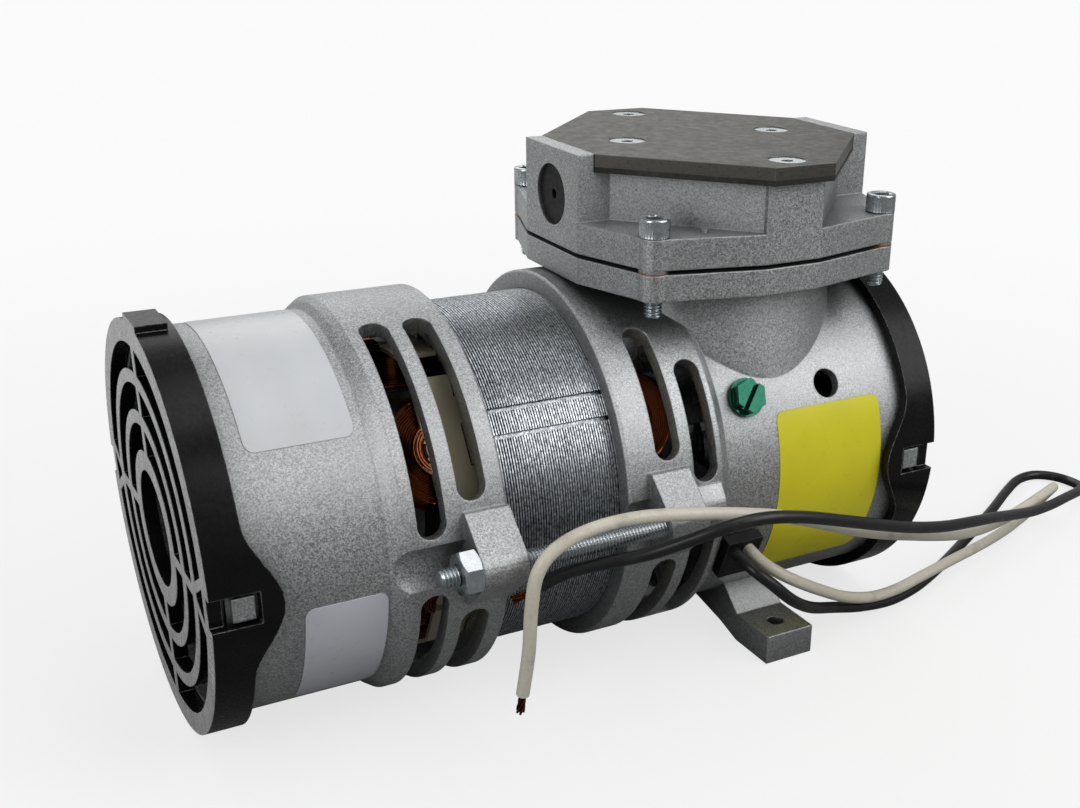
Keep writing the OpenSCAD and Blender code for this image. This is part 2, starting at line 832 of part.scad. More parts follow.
module bobbin() {
    stack_half = (stack_x1 - stack_x0) / 2;
    wing_l = bobbin_reach - stack_half - bobbin_slip;
    difference() {
        union() {
            linear_extrude(bobbin_out_y - bobbin_in_y) stadium(bobbin_straight, bobbin_core_half);
            linear_extrude(bobbin_wall)
                square([2 * bobbin_reach, 2 * bobbin_foot_half], center = true);
            translate([0, 0, bobbin_out_y - bobbin_in_y - bobbin_wall]) {
                linear_extrude(bobbin_wall)
                    square([2 * bobbin_reach, 2 * bobbin_back_half], center = true);
                for (side = [-1, 1])
                    translate([side * (bobbin_reach - wing_l / 2), 0, bobbin_wall / 2])
                        cube([wing_l, 2 * bobbin_wing_half, bobbin_wall], center = true);
            }
        }
        translate([0, 0, (bobbin_out_y - bobbin_in_y) / 2])
            cube([
                2 * (stack_half + bobbin_slip), 2 * (tooth_half_w + bobbin_slip),
                bobbin_out_y - bobbin_in_y + 2 * over
            ], center = true);
        for (side = [-1, 1])
            for (end = [-1, 1])
                translate([
                    end * bobbin_reach, side * bobbin_notch_pitch,
                    bobbin_out_y - bobbin_in_y - bobbin_wall / 2
                ])
                    cube([2 * bobbin_notch_d, bobbin_notch_w, bobbin_wall + over], center = true);
    }
}

module coil_bobbins() {
    color("#d9d3b4") for (i = [0:pole_count - 1]) at_pole(i, bobbin_in_y) bobbin();
}

// One racetrack turn for each full turn of the angle, climbing by a pitch
function racetrack(turn) =
    let (
        angle = 360 * (turn - floor(turn)),
        quarter = cos(angle) >= 0 ? 1 : -1
    ) [quarter * bobbin_straight + coil_half_w * cos(angle), coil_half_w * sin(angle)];

coil_pitch = 2 * wire_r + wire_gap;
coil_point_count = coil_turns * coil_rings;
coil_points = [
    for (i = [0:coil_point_count])
        let (p = racetrack(i / coil_rings + 0.5 / coil_rings))
            [p[0], p[1], coil_start_y + wire_r + i / coil_rings * coil_pitch]
];

function unit(v) = v / norm(v);
function heading(p, i) = unit(p[min(i + 1, len(p) - 1)] - p[max(i - 1, 0)]);

// Carries a side vector along a route, always square to it
function carried_sides(p, first) = [
    for (
        i = 0, side = unit(first - (first * heading(p, 0)) * heading(p, 0));
        i < len(p);
        i = i + 1,
        side = i < len(p) ? unit(side - (side * heading(p, i)) * heading(p, i)) : side
    ) side
];

// A tube of one radius along a route, as one closed mesh
module swept_tube(p, r, sides, first) {
    side_vectors = carried_sides(p, first);
    points = [
        for (i = [0:len(p) - 1])
            for (k = [0:sides - 1])
                let (across = cross(heading(p, i), side_vectors[i]), angle = 360 * k / sides)
                    p[i] + r * (cos(angle) * side_vectors[i] + sin(angle) * across)
    ];
    last = (len(p) - 1) * sides;
    walls = [
        for (i = [0:len(p) - 2])
            for (k = [0:sides - 1])
                let (a = i * sides + k, b = i * sides + (k + 1) % sides)
                    for (face = [[a, b + sides, b], [a, a + sides, b + sides]]) face
    ];
    ends = [
        for (k = [1:sides - 2])
            for (face = [[0, k, k + 1], [last, last + k + 1, last + k]]) face
    ];
    polyhedron(points = points, faces = concat(walls, ends), convexity = 6);
}

// Least distance between turns, from points that are a half turn or more apart
turn_spacing = min([
    for (i = [0:coil_point_count])
        for (j = [i + coil_rings / 2:1:coil_point_count])
            norm(coil_points[i] - coil_points[j])
]);
echo(least_gap_between_coil_turns = turn_spacing - 2 * wire_r);

module coil_core() {
    linear_extrude(coil_turns * coil_pitch + 2 * wire_r) difference() {
        stadium(bobbin_straight, bobbin_core_half + bobbin_slip + coil_core_wall);
        stadium(bobbin_straight, bobbin_core_half + bobbin_slip);
    }
}

module field_coils() {
    color("#8a4a25") for (i = [0:pole_count - 1]) {
        at_pole(i, coil_start_y) coil_core();
        at_pole(i, 0) swept_tube(coil_points, wire_r, coil_sides, [0, 0, 1]);
    }
}

module thermal_protector() {
    stack_half = (stack_x1 - stack_x0) / 2;
    color("#30302e") at_pole(protector_pole, bobbin_out_y)
        translate([stack_half + bobbin_slip + over / 2, -protector_w / 2, 0])
            cube([protector_l, protector_w, protector_t]);
}

module tie_rods() {
    x0 = motor_face_x - motor_lug_l - nut_t - rod_tail_l;
    x1 = crank_face_x + crank_lug_start + rod_blind_l;
    color("#b4b6b4") both_sides()
        translate([x0, -tie_rod_circle_r, shaft_h]) rotate([0, 90, 0]) cylinder(h = x1 - x0, r = screw_r);
}

module tie_rod_nuts() {
    color("#c3c5c3") both_sides()
        translate([motor_face_x - motor_lug_l - nut_t, -tie_rod_circle_r, shaft_h]) rotate([0, 90, 0])
            difference() {
                cylinder(h = nut_t, r = nut_r, $fn = 6);
                translate([0, 0, -over]) cylinder(h = nut_t + 2 * over, r = screw_r + fit);
            }
}

// Rotor

module rotor_shaft() {
    x0 = motor_end_x + shaft_start;
    x1 = crank_fan_x + fan_hub_l + shaft_tail;
    color("#c9cbcc") on_shaft(x0) cylinder(h = x1 - x0, r = shaft_r);
}

module rotor_core() {
    color("#6a6c6e") on_shaft(stack_x0) ring(rotor_r, shaft_r + fit, stack_x1 - stack_x0);
}

module rotor_end_rings() {
    color("#b9bbbd") {
        on_shaft(stack_x0 - rotor_ring_l) ring(rotor_ring_r, rotor_ring_in_r, rotor_ring_l);
        on_shaft(stack_x1) ring(rotor_ring_r, rotor_ring_in_r, rotor_ring_l);
    }
}

// A fan with its disc at x = 0 and its blades towards +X
module fan() {
    difference() {
        union() {
            cylinder(h = fan_hub_l, r = fan_hub_r);
            cylinder(h = fan_disc_t, r = fan_r);
            for (i = [0:fan_blades - 1])
                rotate(i * 360 / fan_blades) translate([fan_blade_in_r, 0, 0]) rotate(fan_blade_lean)
                    translate([0, -fan_blade_t / 2, fan_disc_t - over / 2])
                        cube([fan_r - fan_blade_in_r - fan_blade_t, fan_blade_t, fan_blade_w + over / 2]);
        }
        translate([0, 0, -over]) cylinder(h = fan_hub_l + 2 * over, r = shaft_r + fit);
    }
}

module motor_fan() {
    color("#2b2c2e") on_shaft(motor_end_x + motor_fan_start + fan_hub_l) mirror([0, 0, 1]) fan();
}

module crankcase_fan() {
    color("#2b2c2e") on_shaft(crank_fan_x) fan();
}

// Bearings, drawn about their own axis from z = 0

module bearing_race(r_out, r_in, w, pitch_r, ball_r) {
    rotate_extrude() difference() {
        translate([r_in, 0]) square([r_out - r_in, w]);
        translate([pitch_r, w / 2]) circle(r = ball_r + ball_slip);
    }
}

module bearing_outer(r_out, w, pitch_r, ball_r) {
    bearing_race(r_out, pitch_r + ball_r * race_share, w, pitch_r, ball_r);
}

module bearing_inner(r_in, w, pitch_r, ball_r) {
    bearing_race(pitch_r - ball_r * race_share, r_in, w, pitch_r, ball_r);
}

module bearing_balls(count, w, pitch_r, ball_r) {
    cage_w = 2 * (ball_r + ball_slip + cage_edge);
    difference() {
        translate([0, 0, (w - cage_w) / 2]) ring(pitch_r + cage_t / 2, pitch_r - cage_t / 2, cage_w);
        for (i = [0:count - 1])
            rotate(i * 360 / count) translate([pitch_r - cage_t, 0, w / 2]) rotate([0, 90, 0])
                cylinder(h = 2 * cage_t, r = ball_r + ball_slip);
    }
    for (i = [0:count - 1])
        rotate(i * 360 / count) translate([pitch_r, 0, w / 2]) sphere(r = ball_r);
}

motor_bearing_x = motor_end_x + motor_hub_start + hub_throat_l + washer_t;
crank_bearing_x = crank_hub_x + hub_throat_l;

module motor_bearing_outer() {
    color("#c4c6c8") on_shaft(motor_bearing_x)
        bearing_outer(bearing_out_r, bearing_w, bearing_pitch_r, bearing_ball_r);
}

module motor_bearing_inner() {
    color("#c4c6c8") on_shaft(motor_bearing_x)
        bearing_inner(bearing_bore_r + fit, bearing_w, bearing_pitch_r, bearing_ball_r);
}

module motor_bearing_balls() {
    color("#d4d6d8") on_shaft(motor_bearing_x)
        bearing_balls(bearing_balls, bearing_w, bearing_pitch_r, bearing_ball_r);
}

// Wave washer that loads the motor bearing, drawn flat
module preload_washer() {
    color("#9b9d9f") on_shaft(motor_bearing_x - washer_t)
        ring(bearing_out_r - slip, hub_throat_r + over, washer_t);
}

module crank_bearing_outer() {
    color("#c4c6c8") on_shaft(crank_bearing_x)
        bearing_outer(bearing_out_r, bearing_w, bearing_pitch_r, bearing_ball_r);
}

module crank_bearing_inner() {
    color("#c4c6c8") on_shaft(crank_bearing_x)
        bearing_inner(bearing_bore_r + fit, bearing_w, bearing_pitch_r, bearing_ball_r);
}

module crank_bearing_balls() {
    color("#d4d6d8") on_shaft(crank_bearing_x)
        bearing_balls(bearing_balls, bearing_w, bearing_pitch_r, bearing_ball_r);
}

module rod_bearing_outer() {
    color("#c4c6c8") on_pin(rod_bearing_x)
        bearing_outer(rod_bearing_out_r, rod_bearing_w, rod_bearing_pitch_r, rod_bearing_ball_r);
}

module rod_bearing_inner() {
    color("#c4c6c8") on_pin(rod_bearing_x)
        bearing_inner(rod_bearing_bore_r + fit, rod_bearing_w, rod_bearing_pitch_r, rod_bearing_ball_r);
}

module rod_bearing_balls() {
    color("#d4d6d8") on_pin(rod_bearing_x)
        bearing_balls(rod_bearing_balls, rod_bearing_w, rod_bearing_pitch_r, rod_bearing_ball_r);
}

// Eccentric: the crankpin, a hub and a counterweight opposite the pin
module eccentric() {
    color("#7c7e80") difference() {
        union() {
            on_pin(rod_bearing_x - pin_run - over / 2) cylinder(h = pin_l + over / 2, r = rod_bearing_bore_r);
            on_shaft(eccentric_x) cylinder(h = eccentric_l, r = eccentric_hub_r);
            band(eccentric_x + counterweight_l / 2, counterweight_l,
                [90 - counterweight_half_angle, 90 + counterweight_half_angle],
                shaft_r + over, counterweight_r);
        }
        on_shaft(eccentric_x - over)
            cylinder(h = eccentric_l + pin_run + pin_l + 2 * over, r = shaft_r + fit);
        outwards(set_screw_x, -90)
            cylinder(h = eccentric_hub_r + over, r = set_screw_r + fit);
    }
}

module eccentric_set_screw() {
    color("#3a3b3d") outwards(set_screw_x, -90) translate([0, 0, shaft_r + slip]) difference() {
        cylinder(h = set_screw_l, r = set_screw_r);
        translate([0, 0, set_screw_l - set_screw_hex_l])
            cylinder(h = set_screw_hex_l + over, r = set_screw_hex_r, $fn = 6);
    }
}

// Rod, with the piston's base as its small end
module connecting_rod() {
    shank_l = cup_h - piston_base_t - pin_h;
    color("#aeb0b2") difference() {
        union() {
            on_pin(rod_bearing_x) cylinder(h = rod_bearing_w, r = big_end_r);
            translate([head_x - rod_shank_t / 2, -rod_shank_w / 2, pin_h])
                cube([rod_shank_t, rod_shank_w, shank_l + over]);
            translate([head_x, 0, cup_h - piston_base_t]) cylinder(h = piston_base_t, r = piston_r);
        }
        on_pin(rod_bearing_x - over) cylinder(h = rod_bearing_w + 2 * over, r = rod_bearing_out_r + fit);
        for (side = [-1, 1])
            translate([
                head_x + side * (rod_web_t + rod_shank_t) / 2 - rod_shank_t / 2,
                -rod_web_w / 2, pin_h + big_end_r + over
            ])
                cube([rod_shank_t, rod_web_w, shank_l - big_end_r - 3 * over]);
        translate([head_x, 0, cup_h - retainer_screw_l]) cylinder(h = retainer_screw_l + over, r = retainer_screw_r + fit);
    }
}

// Cup seal: a thin disc whose rim turns up against the bore
module piston_cup_seal() {
    color("#8d8a80") translate([head_x, 0, cup_h]) difference() {
        cylinder(h = cup_t + cup_lip_h, r = bore_r - cup_gap);
        translate([0, 0, cup_t]) cylinder(h = cup_lip_h + over, r = bore_r - cup_gap - cup_t);
        translate([0, 0, -over]) cylinder(h = cup_t + 2 * over, r = retainer_screw_r + slip);
    }
}

module cup_retainer() {
    color("#b9bbbd") translate([head_x, 0, cup_h + cup_t]) difference() {
        cylinder(h = retainer_t, r = retainer_r);
        translate([0, 0, -over]) cylinder(h = retainer_t + 2 * over, r = retainer_screw_r + fit);
        translate([0, 0, retainer_t - retainer_head_t])
            cylinder(h = retainer_head_t, r1 = retainer_screw_r + fit, r2 = retainer_head_r + fit);
    }
}

module retainer_screw() {
    color("#8f9193") translate([head_x, 0, piston_top_h]) difference() {
        union() {
            translate([0, 0, -retainer_head_t])
                cylinder(h = retainer_head_t, r1 = retainer_screw_r, r2 = retainer_head_r);
            translate([0, 0, -retainer_screw_l]) cylinder(h = retainer_screw_l - over, r = retainer_screw_r);
        }
        translate([0, 0, -hex_key_d]) cylinder(h = hex_key_d + over, r = hex_key_r, $fn = 6);
    }
}

module cylinder_sleeve() {
    color("#9fa3a8") translate([head_x, 0, deck_h]) difference() {
        union() {
            translate([0, 0, -sleeve_l]) cylinder(h = sleeve_l, r = sleeve_r);
            translate([0, 0, -sleeve_flange_t]) cylinder(h = sleeve_flange_t, r = sleeve_flange_r);
        }
        translate([0, 0, -sleeve_l - over]) cylinder(h = sleeve_l + 2 * over, r = bore_r);
    }
}

// Valves

module o_ring(h) {
    translate([head_x, 0, h]) rotate_extrude() translate([seal_ring_r, 0]) circle(r = seal_wire_r);
}

// Grooves are as deep as the ring less its squash, so each ring fills its groove to the mating face
seal_groove_d = 2 * seal_wire_r - plate_room;

module sleeve_o_ring() {
    color("#141414") o_ring(deck_h + seal_wire_r);
}

module head_o_ring() {
    color("#141414") o_ring(plate_top_h + plate_room - seal_wire_r);
}

module seal_groove(h, depth) {
    translate([head_x, 0, h]) ring(seal_ring_r + seal_wire_r + fit, seal_ring_r - seal_wire_r - fit, depth);
}

// One reed lies along Y; side -1 is the intake, under the plate, and side 1 the exhaust, on top
function reed_tail_y(side) = side * reed_l / 2;

module at_reed(side, h) {
    translate([head_x + side * reed_x, reed_tail_y(side), h]) mirror([0, side > 0 ? 1 : 0, 0]) children();
}

module reed() {
    difference() {
        translate([-reed_w / 2, 0, 0]) cube([reed_w, reed_l, reed_t]);
        translate([0, reed_clamp, -over]) cylinder(h = reed_t + 2 * over, r = reed_hole_r);
    }
}

intake_reed_h = deck_h + reed_recess_h - reed_t;

module intake_reed() {
    color("#a7acb3") at_reed(-1, intake_reed_h) reed();
}

module exhaust_reed() {
    color("#a7acb3") at_reed(1, plate_top_h) reed();
}

module valve_plate() {
    color("#b2b4b6") difference() {
        translate([head_x, 0, deck_h]) cylinder(h = plate_t, r = plate_r);
        seal_groove(deck_h - over, 2 * seal_wire_r + over);
        seal_groove(plate_top_h - seal_groove_d, seal_groove_d + over);
        at_reed(-1, deck_h - over) translate([-reed_w / 2 - reed_recess_edge, -reed_recess_edge, 0])
            cube([reed_w + 2 * reed_recess_edge, reed_l + 2 * reed_recess_edge, reed_recess_h + over]);
        for (side = [-1, 1])
            at_reed(side, deck_h - over) {
                for (y = valve_hole_ys)
                    translate([0, y, 0]) cylinder(h = plate_t + 2 * over, r = valve_hole_r);
                translate([0, reed_clamp, 0]) cylinder(h = plate_t + 2 * over, r = reed_screw_r + fit);
            }
    }
}

module exhaust_reed_keeper() {
    color("#a3a6a9") at_reed(1, plate_top_h) difference() {
        union() {
            translate([0, reed_clamp, 0]) cylinder(h = reed_t + reed_play + keeper_t / 2, r = keeper_bush_r);
            translate([-reed_w / 2, 0, reed_t + reed_play]) cube([reed_w, 2 * reed_clamp, keeper_t]);
            translate([0, 2 * reed_clamp, reed_t + reed_play]) rotate([keeper_lift, 0, 0])
                translate([-reed_w / 2, -keeper_t / 2, 0]) cube([reed_w, reed_l - 2 * reed_clamp, keeper_t]);
        }
        translate([0, reed_clamp, -over]) cylinder(h = plate_t + 2 * over, r = reed_screw_r + fit);
    }
}

module reed_screw(head_below) {
    cylinder(h = reed_screw_l + head_below, r = reed_screw_r);
    translate([0, 0, -reed_screw_head_t]) cylinder(h = reed_screw_head_t, r = reed_screw_head_r);
}

module reed_screws() {
    keeper_top_h = plate_top_h + reed_t + reed_play + keeper_t;
    color("#8b8d90") {
        at_reed(1, keeper_top_h) translate([0, reed_clamp, 0]) mirror([0, 0, 1])
            reed_screw(reed_t + reed_play + keeper_t);
        at_reed(-1, deck_h + reed_screw_head_t) translate([0, reed_clamp, 0]) reed_screw(0);
    }
}

// Head

// Distance of the cover plate's long edge from the axis, and the direction it faces
cover_edge = [cover_half_x - cover_tip_x, cover_half_y - cover_side_y];
cover_edge_normal = [cover_edge[1], cover_edge[0]] / norm(cover_edge);
cover_edge_reach = cover_edge_normal * [cover_half_x, cover_side_y];

// Where a line parallel to the long edge, set in from it, meets a given x or y
function edge_x(y, inset) = (cover_edge_reach - inset - cover_edge_normal[1] * y) / cover_edge_normal[0];
function edge_y(x, inset) = (cover_edge_reach - inset - cover_edge_normal[0] * x) / cover_edge_normal[1];

function mirrored_points(quarter) = let (last = len(quarter) - 1) concat(
    quarter,
    [for (i = [last:-1:0]) [-quarter[i][0], quarter[i][1]]],
    [for (i = [0:last]) [-quarter[i][0], -quarter[i][1]]],
    [for (i = [last:-1:0]) [quarter[i][0], -quarter[i][1]]]
);

module cover_outline() {
    polygon(mirrored_points([[cover_half_x, cover_side_y], [cover_tip_x, cover_half_y]]));
}

module head_outline() {
    polygon(mirrored_points([
        [port_reach, port_half_w], [edge_x(port_half_w, head_inset), port_half_w],
        [post_half_w, edge_y(post_half_w, head_inset)], [post_half_w, flange_tip_y]
    ]));
}

module chamber_outline() {
    chamber_inset = head_inset + chamber_wall;
    chamber_x = cover_half_x - chamber_wall;
    chamber_y = cover_screw_y - cover_post_r - over;
    polygon(mirrored_points([
        [chamber_x, edge_y(chamber_x, chamber_inset)], [edge_x(chamber_y, chamber_inset), chamber_y]
    ]));
}

module at_cover_screws(h) {
    for (p = [[cover_screw_x, 0], [-cover_screw_x, 0], [0, cover_screw_y], [0, -cover_screw_y]])
        translate([head_x + p[0], p[1], h]) children();
}

module port(side, r) {
    translate([head_x + side * (port_reach + over), 0, port_h]) rotate([0, -side * 90, 0])
        cylinder(h = port_depth + over, r = r);
}

chamber_floor_h = plate_top_h + plate_room + chamber_floor_t;

module cylinder_head() {
    color("#adafaf") difference() {
        union() {
            translate([head_x, 0, head_bottom_h]) linear_extrude(head_flange_t) flange_outline();
            translate([head_x, 0, head_flange_h - over / 2]) linear_extrude(head_body_h + over / 2)
                head_outline();
            for (side = [-1, 1])
                translate([
                    head_x + (side > 0 ? cover_half_x + slip : -port_reach), -port_half_w, head_flange_h
                ])
                    cube([port_reach - cover_half_x - slip, 2 * port_half_w, cover_top_h - head_flange_h]);
            at_head_screws(deck_h + shim_t) cylinder(h = head_gap, r = corner_r - slip);
            translate([head_x + dowel_x, dowel_y, head_flange_h - over / 2])
                cylinder(h = dowel_h + over / 2, r = dowel_r);
        }
        translate([head_x, 0, deck_h]) cylinder(h = plate_t + plate_room, r = plate_r + slip);
        difference() {
            translate([head_x, 0, chamber_floor_h]) linear_extrude(head_top_h - chamber_floor_h + over)
                chamber_outline();
            translate([head_x - divider_t / 2, -cover_half_y, chamber_floor_h - over])
                cube([divider_t, 2 * cover_half_y, head_top_h - chamber_floor_h + over]);
            at_cover_screws(chamber_floor_h - over)
                cylinder(h = head_top_h - chamber_floor_h + over, r = cover_post_r);
        }
        for (side = [-1, 1])
            translate([head_x + side * reed_x, 0, (chamber_floor_h + deck_h) / 2 + over])
                cube([chamber_window_w, chamber_window_l, chamber_floor_h - deck_h], center = true);
        at_cover_screws(head_top_h - cover_screw_l) cylinder(h = cover_screw_l + over, r = cover_screw_r + fit);
        at_head_screws(deck_h) cylinder(h = head_flange_h - deck_h + over, r = screw_r + slip);
        port(1, port_r);
        port(-1, intake_r);
        translate([head_x - port_reach - over, 0, port_h]) rotate([0, 90, 0])
            cylinder(h = port_seat_l + over, r = port_seat_r);
    }
}

module head_corner_shims() {
    color("#b0683c") at_head_screws(deck_h) ring(corner_r, screw_r + slip, shim_t);
}

module head_screws() {
    color("#c6c8c8") at_head_screws(head_flange_h) {
        difference() {
            cylinder(h = socket_h, r = socket_r);
            translate([0, 0, socket_h - socket_hex_d])
                cylinder(h = socket_hex_d + over, r = socket_hex_r, $fn = 6);
            for (i = [0:knurl_count - 1])
                rotate(i * 360 / knurl_count) translate([socket_r, 0, over])
                    rotate(45) translate([-knurl_d, -knurl_d, -2 * over])
                        cube([2 * knurl_d, 2 * knurl_d, socket_h + over]);
        }
        translate([0, 0, -(head_flange_h - deck_h + deck_t + tail_l)])
            cylinder(h = head_flange_h - deck_h + deck_t + tail_l, r = screw_r);
    }
}

module cover_holes(h, r) {
    at_cover_screws(h - over) cylinder(h = cover_plate_t + gasket_t + 2 * over, r = r);
}

module cover_gasket() {
    color("#1b1b1c") difference() {
        translate([head_x, 0, head_top_h]) linear_extrude(gasket_t) difference() {
            cover_outline();
            difference() {
                chamber_outline();
                square([divider_t, 2 * cover_half_y], center = true);
                for (side = [-1, 1]) translate([side * cover_screw_x, 0]) circle(r = cover_post_r);
            }
        }
        cover_holes(head_top_h, cover_screw_r + slip);
    }
}

module cover_plate() {
    color("#6f6e66") difference() {
        translate([head_x, 0, cover_bottom_h]) linear_extrude(cover_plate_t) cover_outline();
        cover_holes(cover_bottom_h, cover_screw_r + slip);
        at_cover_screws(cover_top_h - cover_screw_head_t - cover_screw_sink)
            cylinder(h = cover_screw_head_t, r1 = cover_screw_r + fit, r2 = cover_screw_head_r + fit);
        at_cover_screws(cover_top_h - cover_screw_sink - fit)
            cylinder(h = cover_screw_sink + over, r = cover_screw_head_r + fit);
    }
}

module cover_screws() {
    color("#b9bbb9") at_cover_screws(cover_top_h - cover_screw_sink) difference() {
        union() {
            translate([0, 0, -cover_screw_head_t])
                cylinder(h = cover_screw_head_t, r1 = cover_screw_r, r2 = cover_screw_head_r);
            translate([0, 0, -cover_screw_l]) cylinder(h = cover_screw_l - over, r = cover_screw_r);
        }
        translate([0, 0, -hex_key_d]) cylinder(h = hex_key_d + over, r = hex_key_r, $fn = 6);
    }
}

module port_filter_disc() {
    color("#2c2d2f")
        translate([head_x - port_reach + port_seat_l - disc_t, 0, port_h]) rotate([0, 90, 0])
            ring(disc_r, disc_hole_r, disc_t);
}

// Ground screw: hex head with a flange and a slot
module ground_screw() {
    color("#2f8f6f") outwards(head_x - ground_screw_back, side_hole_angle)
        translate([0, 0, barrel_r + slip]) rotate(ground_slot_turn) difference() {
            union() {
                cylinder(h = ground_washer_t, r = ground_head_r);
                cylinder(h = ground_washer_t + ground_head_t, r = ground_hex_r, $fn = 6);
                translate([0, 0, -ground_screw_l]) cylinder(h = ground_screw_l + over / 2, r = screw_r);
            }
            translate([-ground_slot_w / 2, -ground_head_r - over, ground_washer_t + ground_head_t - ground_slot_d])
                cube([ground_slot_w, 2 * (ground_head_r + over), ground_slot_d + over]);
        }
}

// Strain relief in the barrel's wall: the leads start at its outer face
module lead_grommet() {
    color("#131313") outwards(grommet_x, grommet_angle) translate([0, 0, barrel_r]) {
        translate([-grommet_w / 2, -grommet_h / 2, slip]) cube([grommet_w, grommet_h, grommet_t]);
        translate([-grommet_hole_w / 2 + slip, -grommet_hole_h / 2 + slip, slip - grommet_waist_l])
            cube([grommet_hole_w - 2 * slip, grommet_hole_h - 2 * slip, grommet_waist_l + over]);
    }
}

// Blank labels, curved on the barrels
module curved_label(x0, l, ends) {
    half_l = l / 2 - label_corner_r;
    half_w = (barrel_r + label_gap) * sin((ends[1] - ends[0]) / 2) - label_corner_r;
    x = x0 + l / 2;
    intersection() {
        on_shaft(x - half_l - 2 * label_corner_r)
            ring(barrel_r + label_gap + label_t, barrel_r + label_gap, 2 * half_l + 4 * label_corner_r);
        outwards(x, (ends[0] + ends[1]) / 2) linear_extrude(cover_r) {
            square([2 * half_l, 2 * half_w + 2 * label_corner_r], center = true);
            square([2 * half_l + 2 * label_corner_r, 2 * half_w], center = true);
            for (sx = [-1, 1])
                for (sy = [-1, 1])
                    translate([sx * half_l, sy * half_w]) circle(r = label_corner_r);
        }
    }
}

module barrel_label() {
    color("#e4e7ea") curved_label(motor_end_x + barrel_label_start, barrel_label_l, barrel_label_ends);
}

module lower_label() {
    color("#c9ccce") curved_label(motor_end_x + lower_label_start, lower_label_l, lower_label_ends);
}

module side_label() {
    end_x = crank_end_x - skirt_peak_l - side_label_edge;
    color("#ddd02a") curved_label(end_x - side_label_l, side_label_l, side_label_ends);
}

module white_lead() {
    color("#d8d2bd") swept_tube(white_route, lead_r, lead_sides, [0, 0, 1]);
}

module black_lead() {
    color("#161616") swept_tube(black_route, lead_r, lead_sides, [0, 0, 1]);
}

module strands(p) {
    last = len(p) - 1;
    swept_tube([p[last], p[last] + strand_l * heading(p, last)], strand_r, lead_sides, [0, 1, 0]);
}

module white_lead_strands() {
    color("#b87a45") strands(white_route);
}

module black_lead_strands() {
    color("#b87a45") strands(black_route);
}

motor_fan_cover();
crankcase_fan_cover();
motor_end_casting();
crankcase_casting();
stator_stack();
coil_bobbins();
field_coils();
thermal_protector();
tie_rods();
tie_rod_nuts();
rotor_shaft();
rotor_core();
rotor_end_rings();
motor_fan();
crankcase_fan();
eccentric();
eccentric_set_screw();
motor_bearing_outer();
motor_bearing_inner();
motor_bearing_balls();
preload_washer();
crank_bearing_outer();
crank_bearing_inner();
crank_bearing_balls();
rod_bearing_outer();
rod_bearing_inner();
rod_bearing_balls();
connecting_rod();
piston_cup_seal();
cup_retainer();
retainer_screw();
cylinder_sleeve();
sleeve_o_ring();
valve_plate();
head_o_ring();
intake_reed();
exhaust_reed();
exhaust_reed_keeper();
reed_screws();
cylinder_head();
head_corner_shims();
head_screws();
cover_gasket();
cover_plate();
cover_screws();
port_filter_disc();
ground_screw();
lead_grommet();
barrel_label();
lower_label();
side_label();
white_lead();
white_lead_strands();
black_lead();
black_lead_strands();
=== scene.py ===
"""Looks of the oil-free rocking-piston vacuum pump. Everything is in metres, in the frame of the CAD part."""

import json
import math
import random

import bpy
from mathutils import Matrix, Vector


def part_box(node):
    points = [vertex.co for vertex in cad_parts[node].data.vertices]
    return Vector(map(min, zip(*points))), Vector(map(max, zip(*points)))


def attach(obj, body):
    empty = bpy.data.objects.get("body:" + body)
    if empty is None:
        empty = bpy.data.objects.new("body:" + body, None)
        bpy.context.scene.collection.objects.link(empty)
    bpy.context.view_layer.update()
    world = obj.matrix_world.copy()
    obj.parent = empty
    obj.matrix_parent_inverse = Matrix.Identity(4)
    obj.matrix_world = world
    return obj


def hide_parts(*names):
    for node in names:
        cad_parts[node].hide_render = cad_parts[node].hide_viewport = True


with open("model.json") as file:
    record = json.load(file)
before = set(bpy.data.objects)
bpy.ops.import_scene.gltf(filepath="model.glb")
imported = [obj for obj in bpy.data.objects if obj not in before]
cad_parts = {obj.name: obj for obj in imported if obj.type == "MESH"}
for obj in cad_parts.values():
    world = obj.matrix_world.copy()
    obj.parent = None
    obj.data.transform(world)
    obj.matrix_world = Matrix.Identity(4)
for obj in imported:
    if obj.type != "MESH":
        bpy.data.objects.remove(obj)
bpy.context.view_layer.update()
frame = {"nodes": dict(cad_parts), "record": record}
MM = 0.001

# Places of the CAD part that the detailed pieces repeat, in millimetres
SHAFT_H = 45.0
STACK_X0, STACK_X1 = -29.0, 4.3
HEAD_X = 45.7
HEAD_PITCH = 30.85
HEAD_FLANGE_H = 104.1
COVER_FACE = 88.7
POLE_ANGLE = 33.0
POLES = 6


# ---------------------------------------------------------------- camera and stage


# Name, place, target, size in metres and power in watts
LAMPS = (
    ("key", (0.52, -0.62, 0.60), (0.02, 0, 0.06), (0.75, 0.70), 4.2),
    ("top", (0.20, -0.05, 1.00), (0.0, 0.0, 0.08), (0.60, 0.30), 1.1),
    ("back", (0.15, 0.85, 0.60), (0.0, 0.0, 0.08), (1.2, 0.6), 2.6),
    ("left", (-0.80, -0.30, 0.42), (-0.05, 0, 0.06), (0.40, 0.60), 2.8),
)
# Height from 0, level, to 1, overhead, and the world's grey there
WORLD_STOPS = ((0.0, 0.50), (0.25, 0.50), (0.7, 0.62), (1.0, 0.62))
# The world's strength before the object and behind it
WORLD_FRONT_BACK = (0.46, 0.60)
BACKDROP = 0.96
# The floor's grey in reflections, before the object and behind it
FLOOR_FRONT_BACK = (0.24, 0.80)
# The floor's share of even glow near the object and far off, and the two distances in metres
GLOW_SHARES = (0.76, 1.0)
GLOW_DISTANCES = (0.14, 0.50)
FLOOR_GREY = 0.97


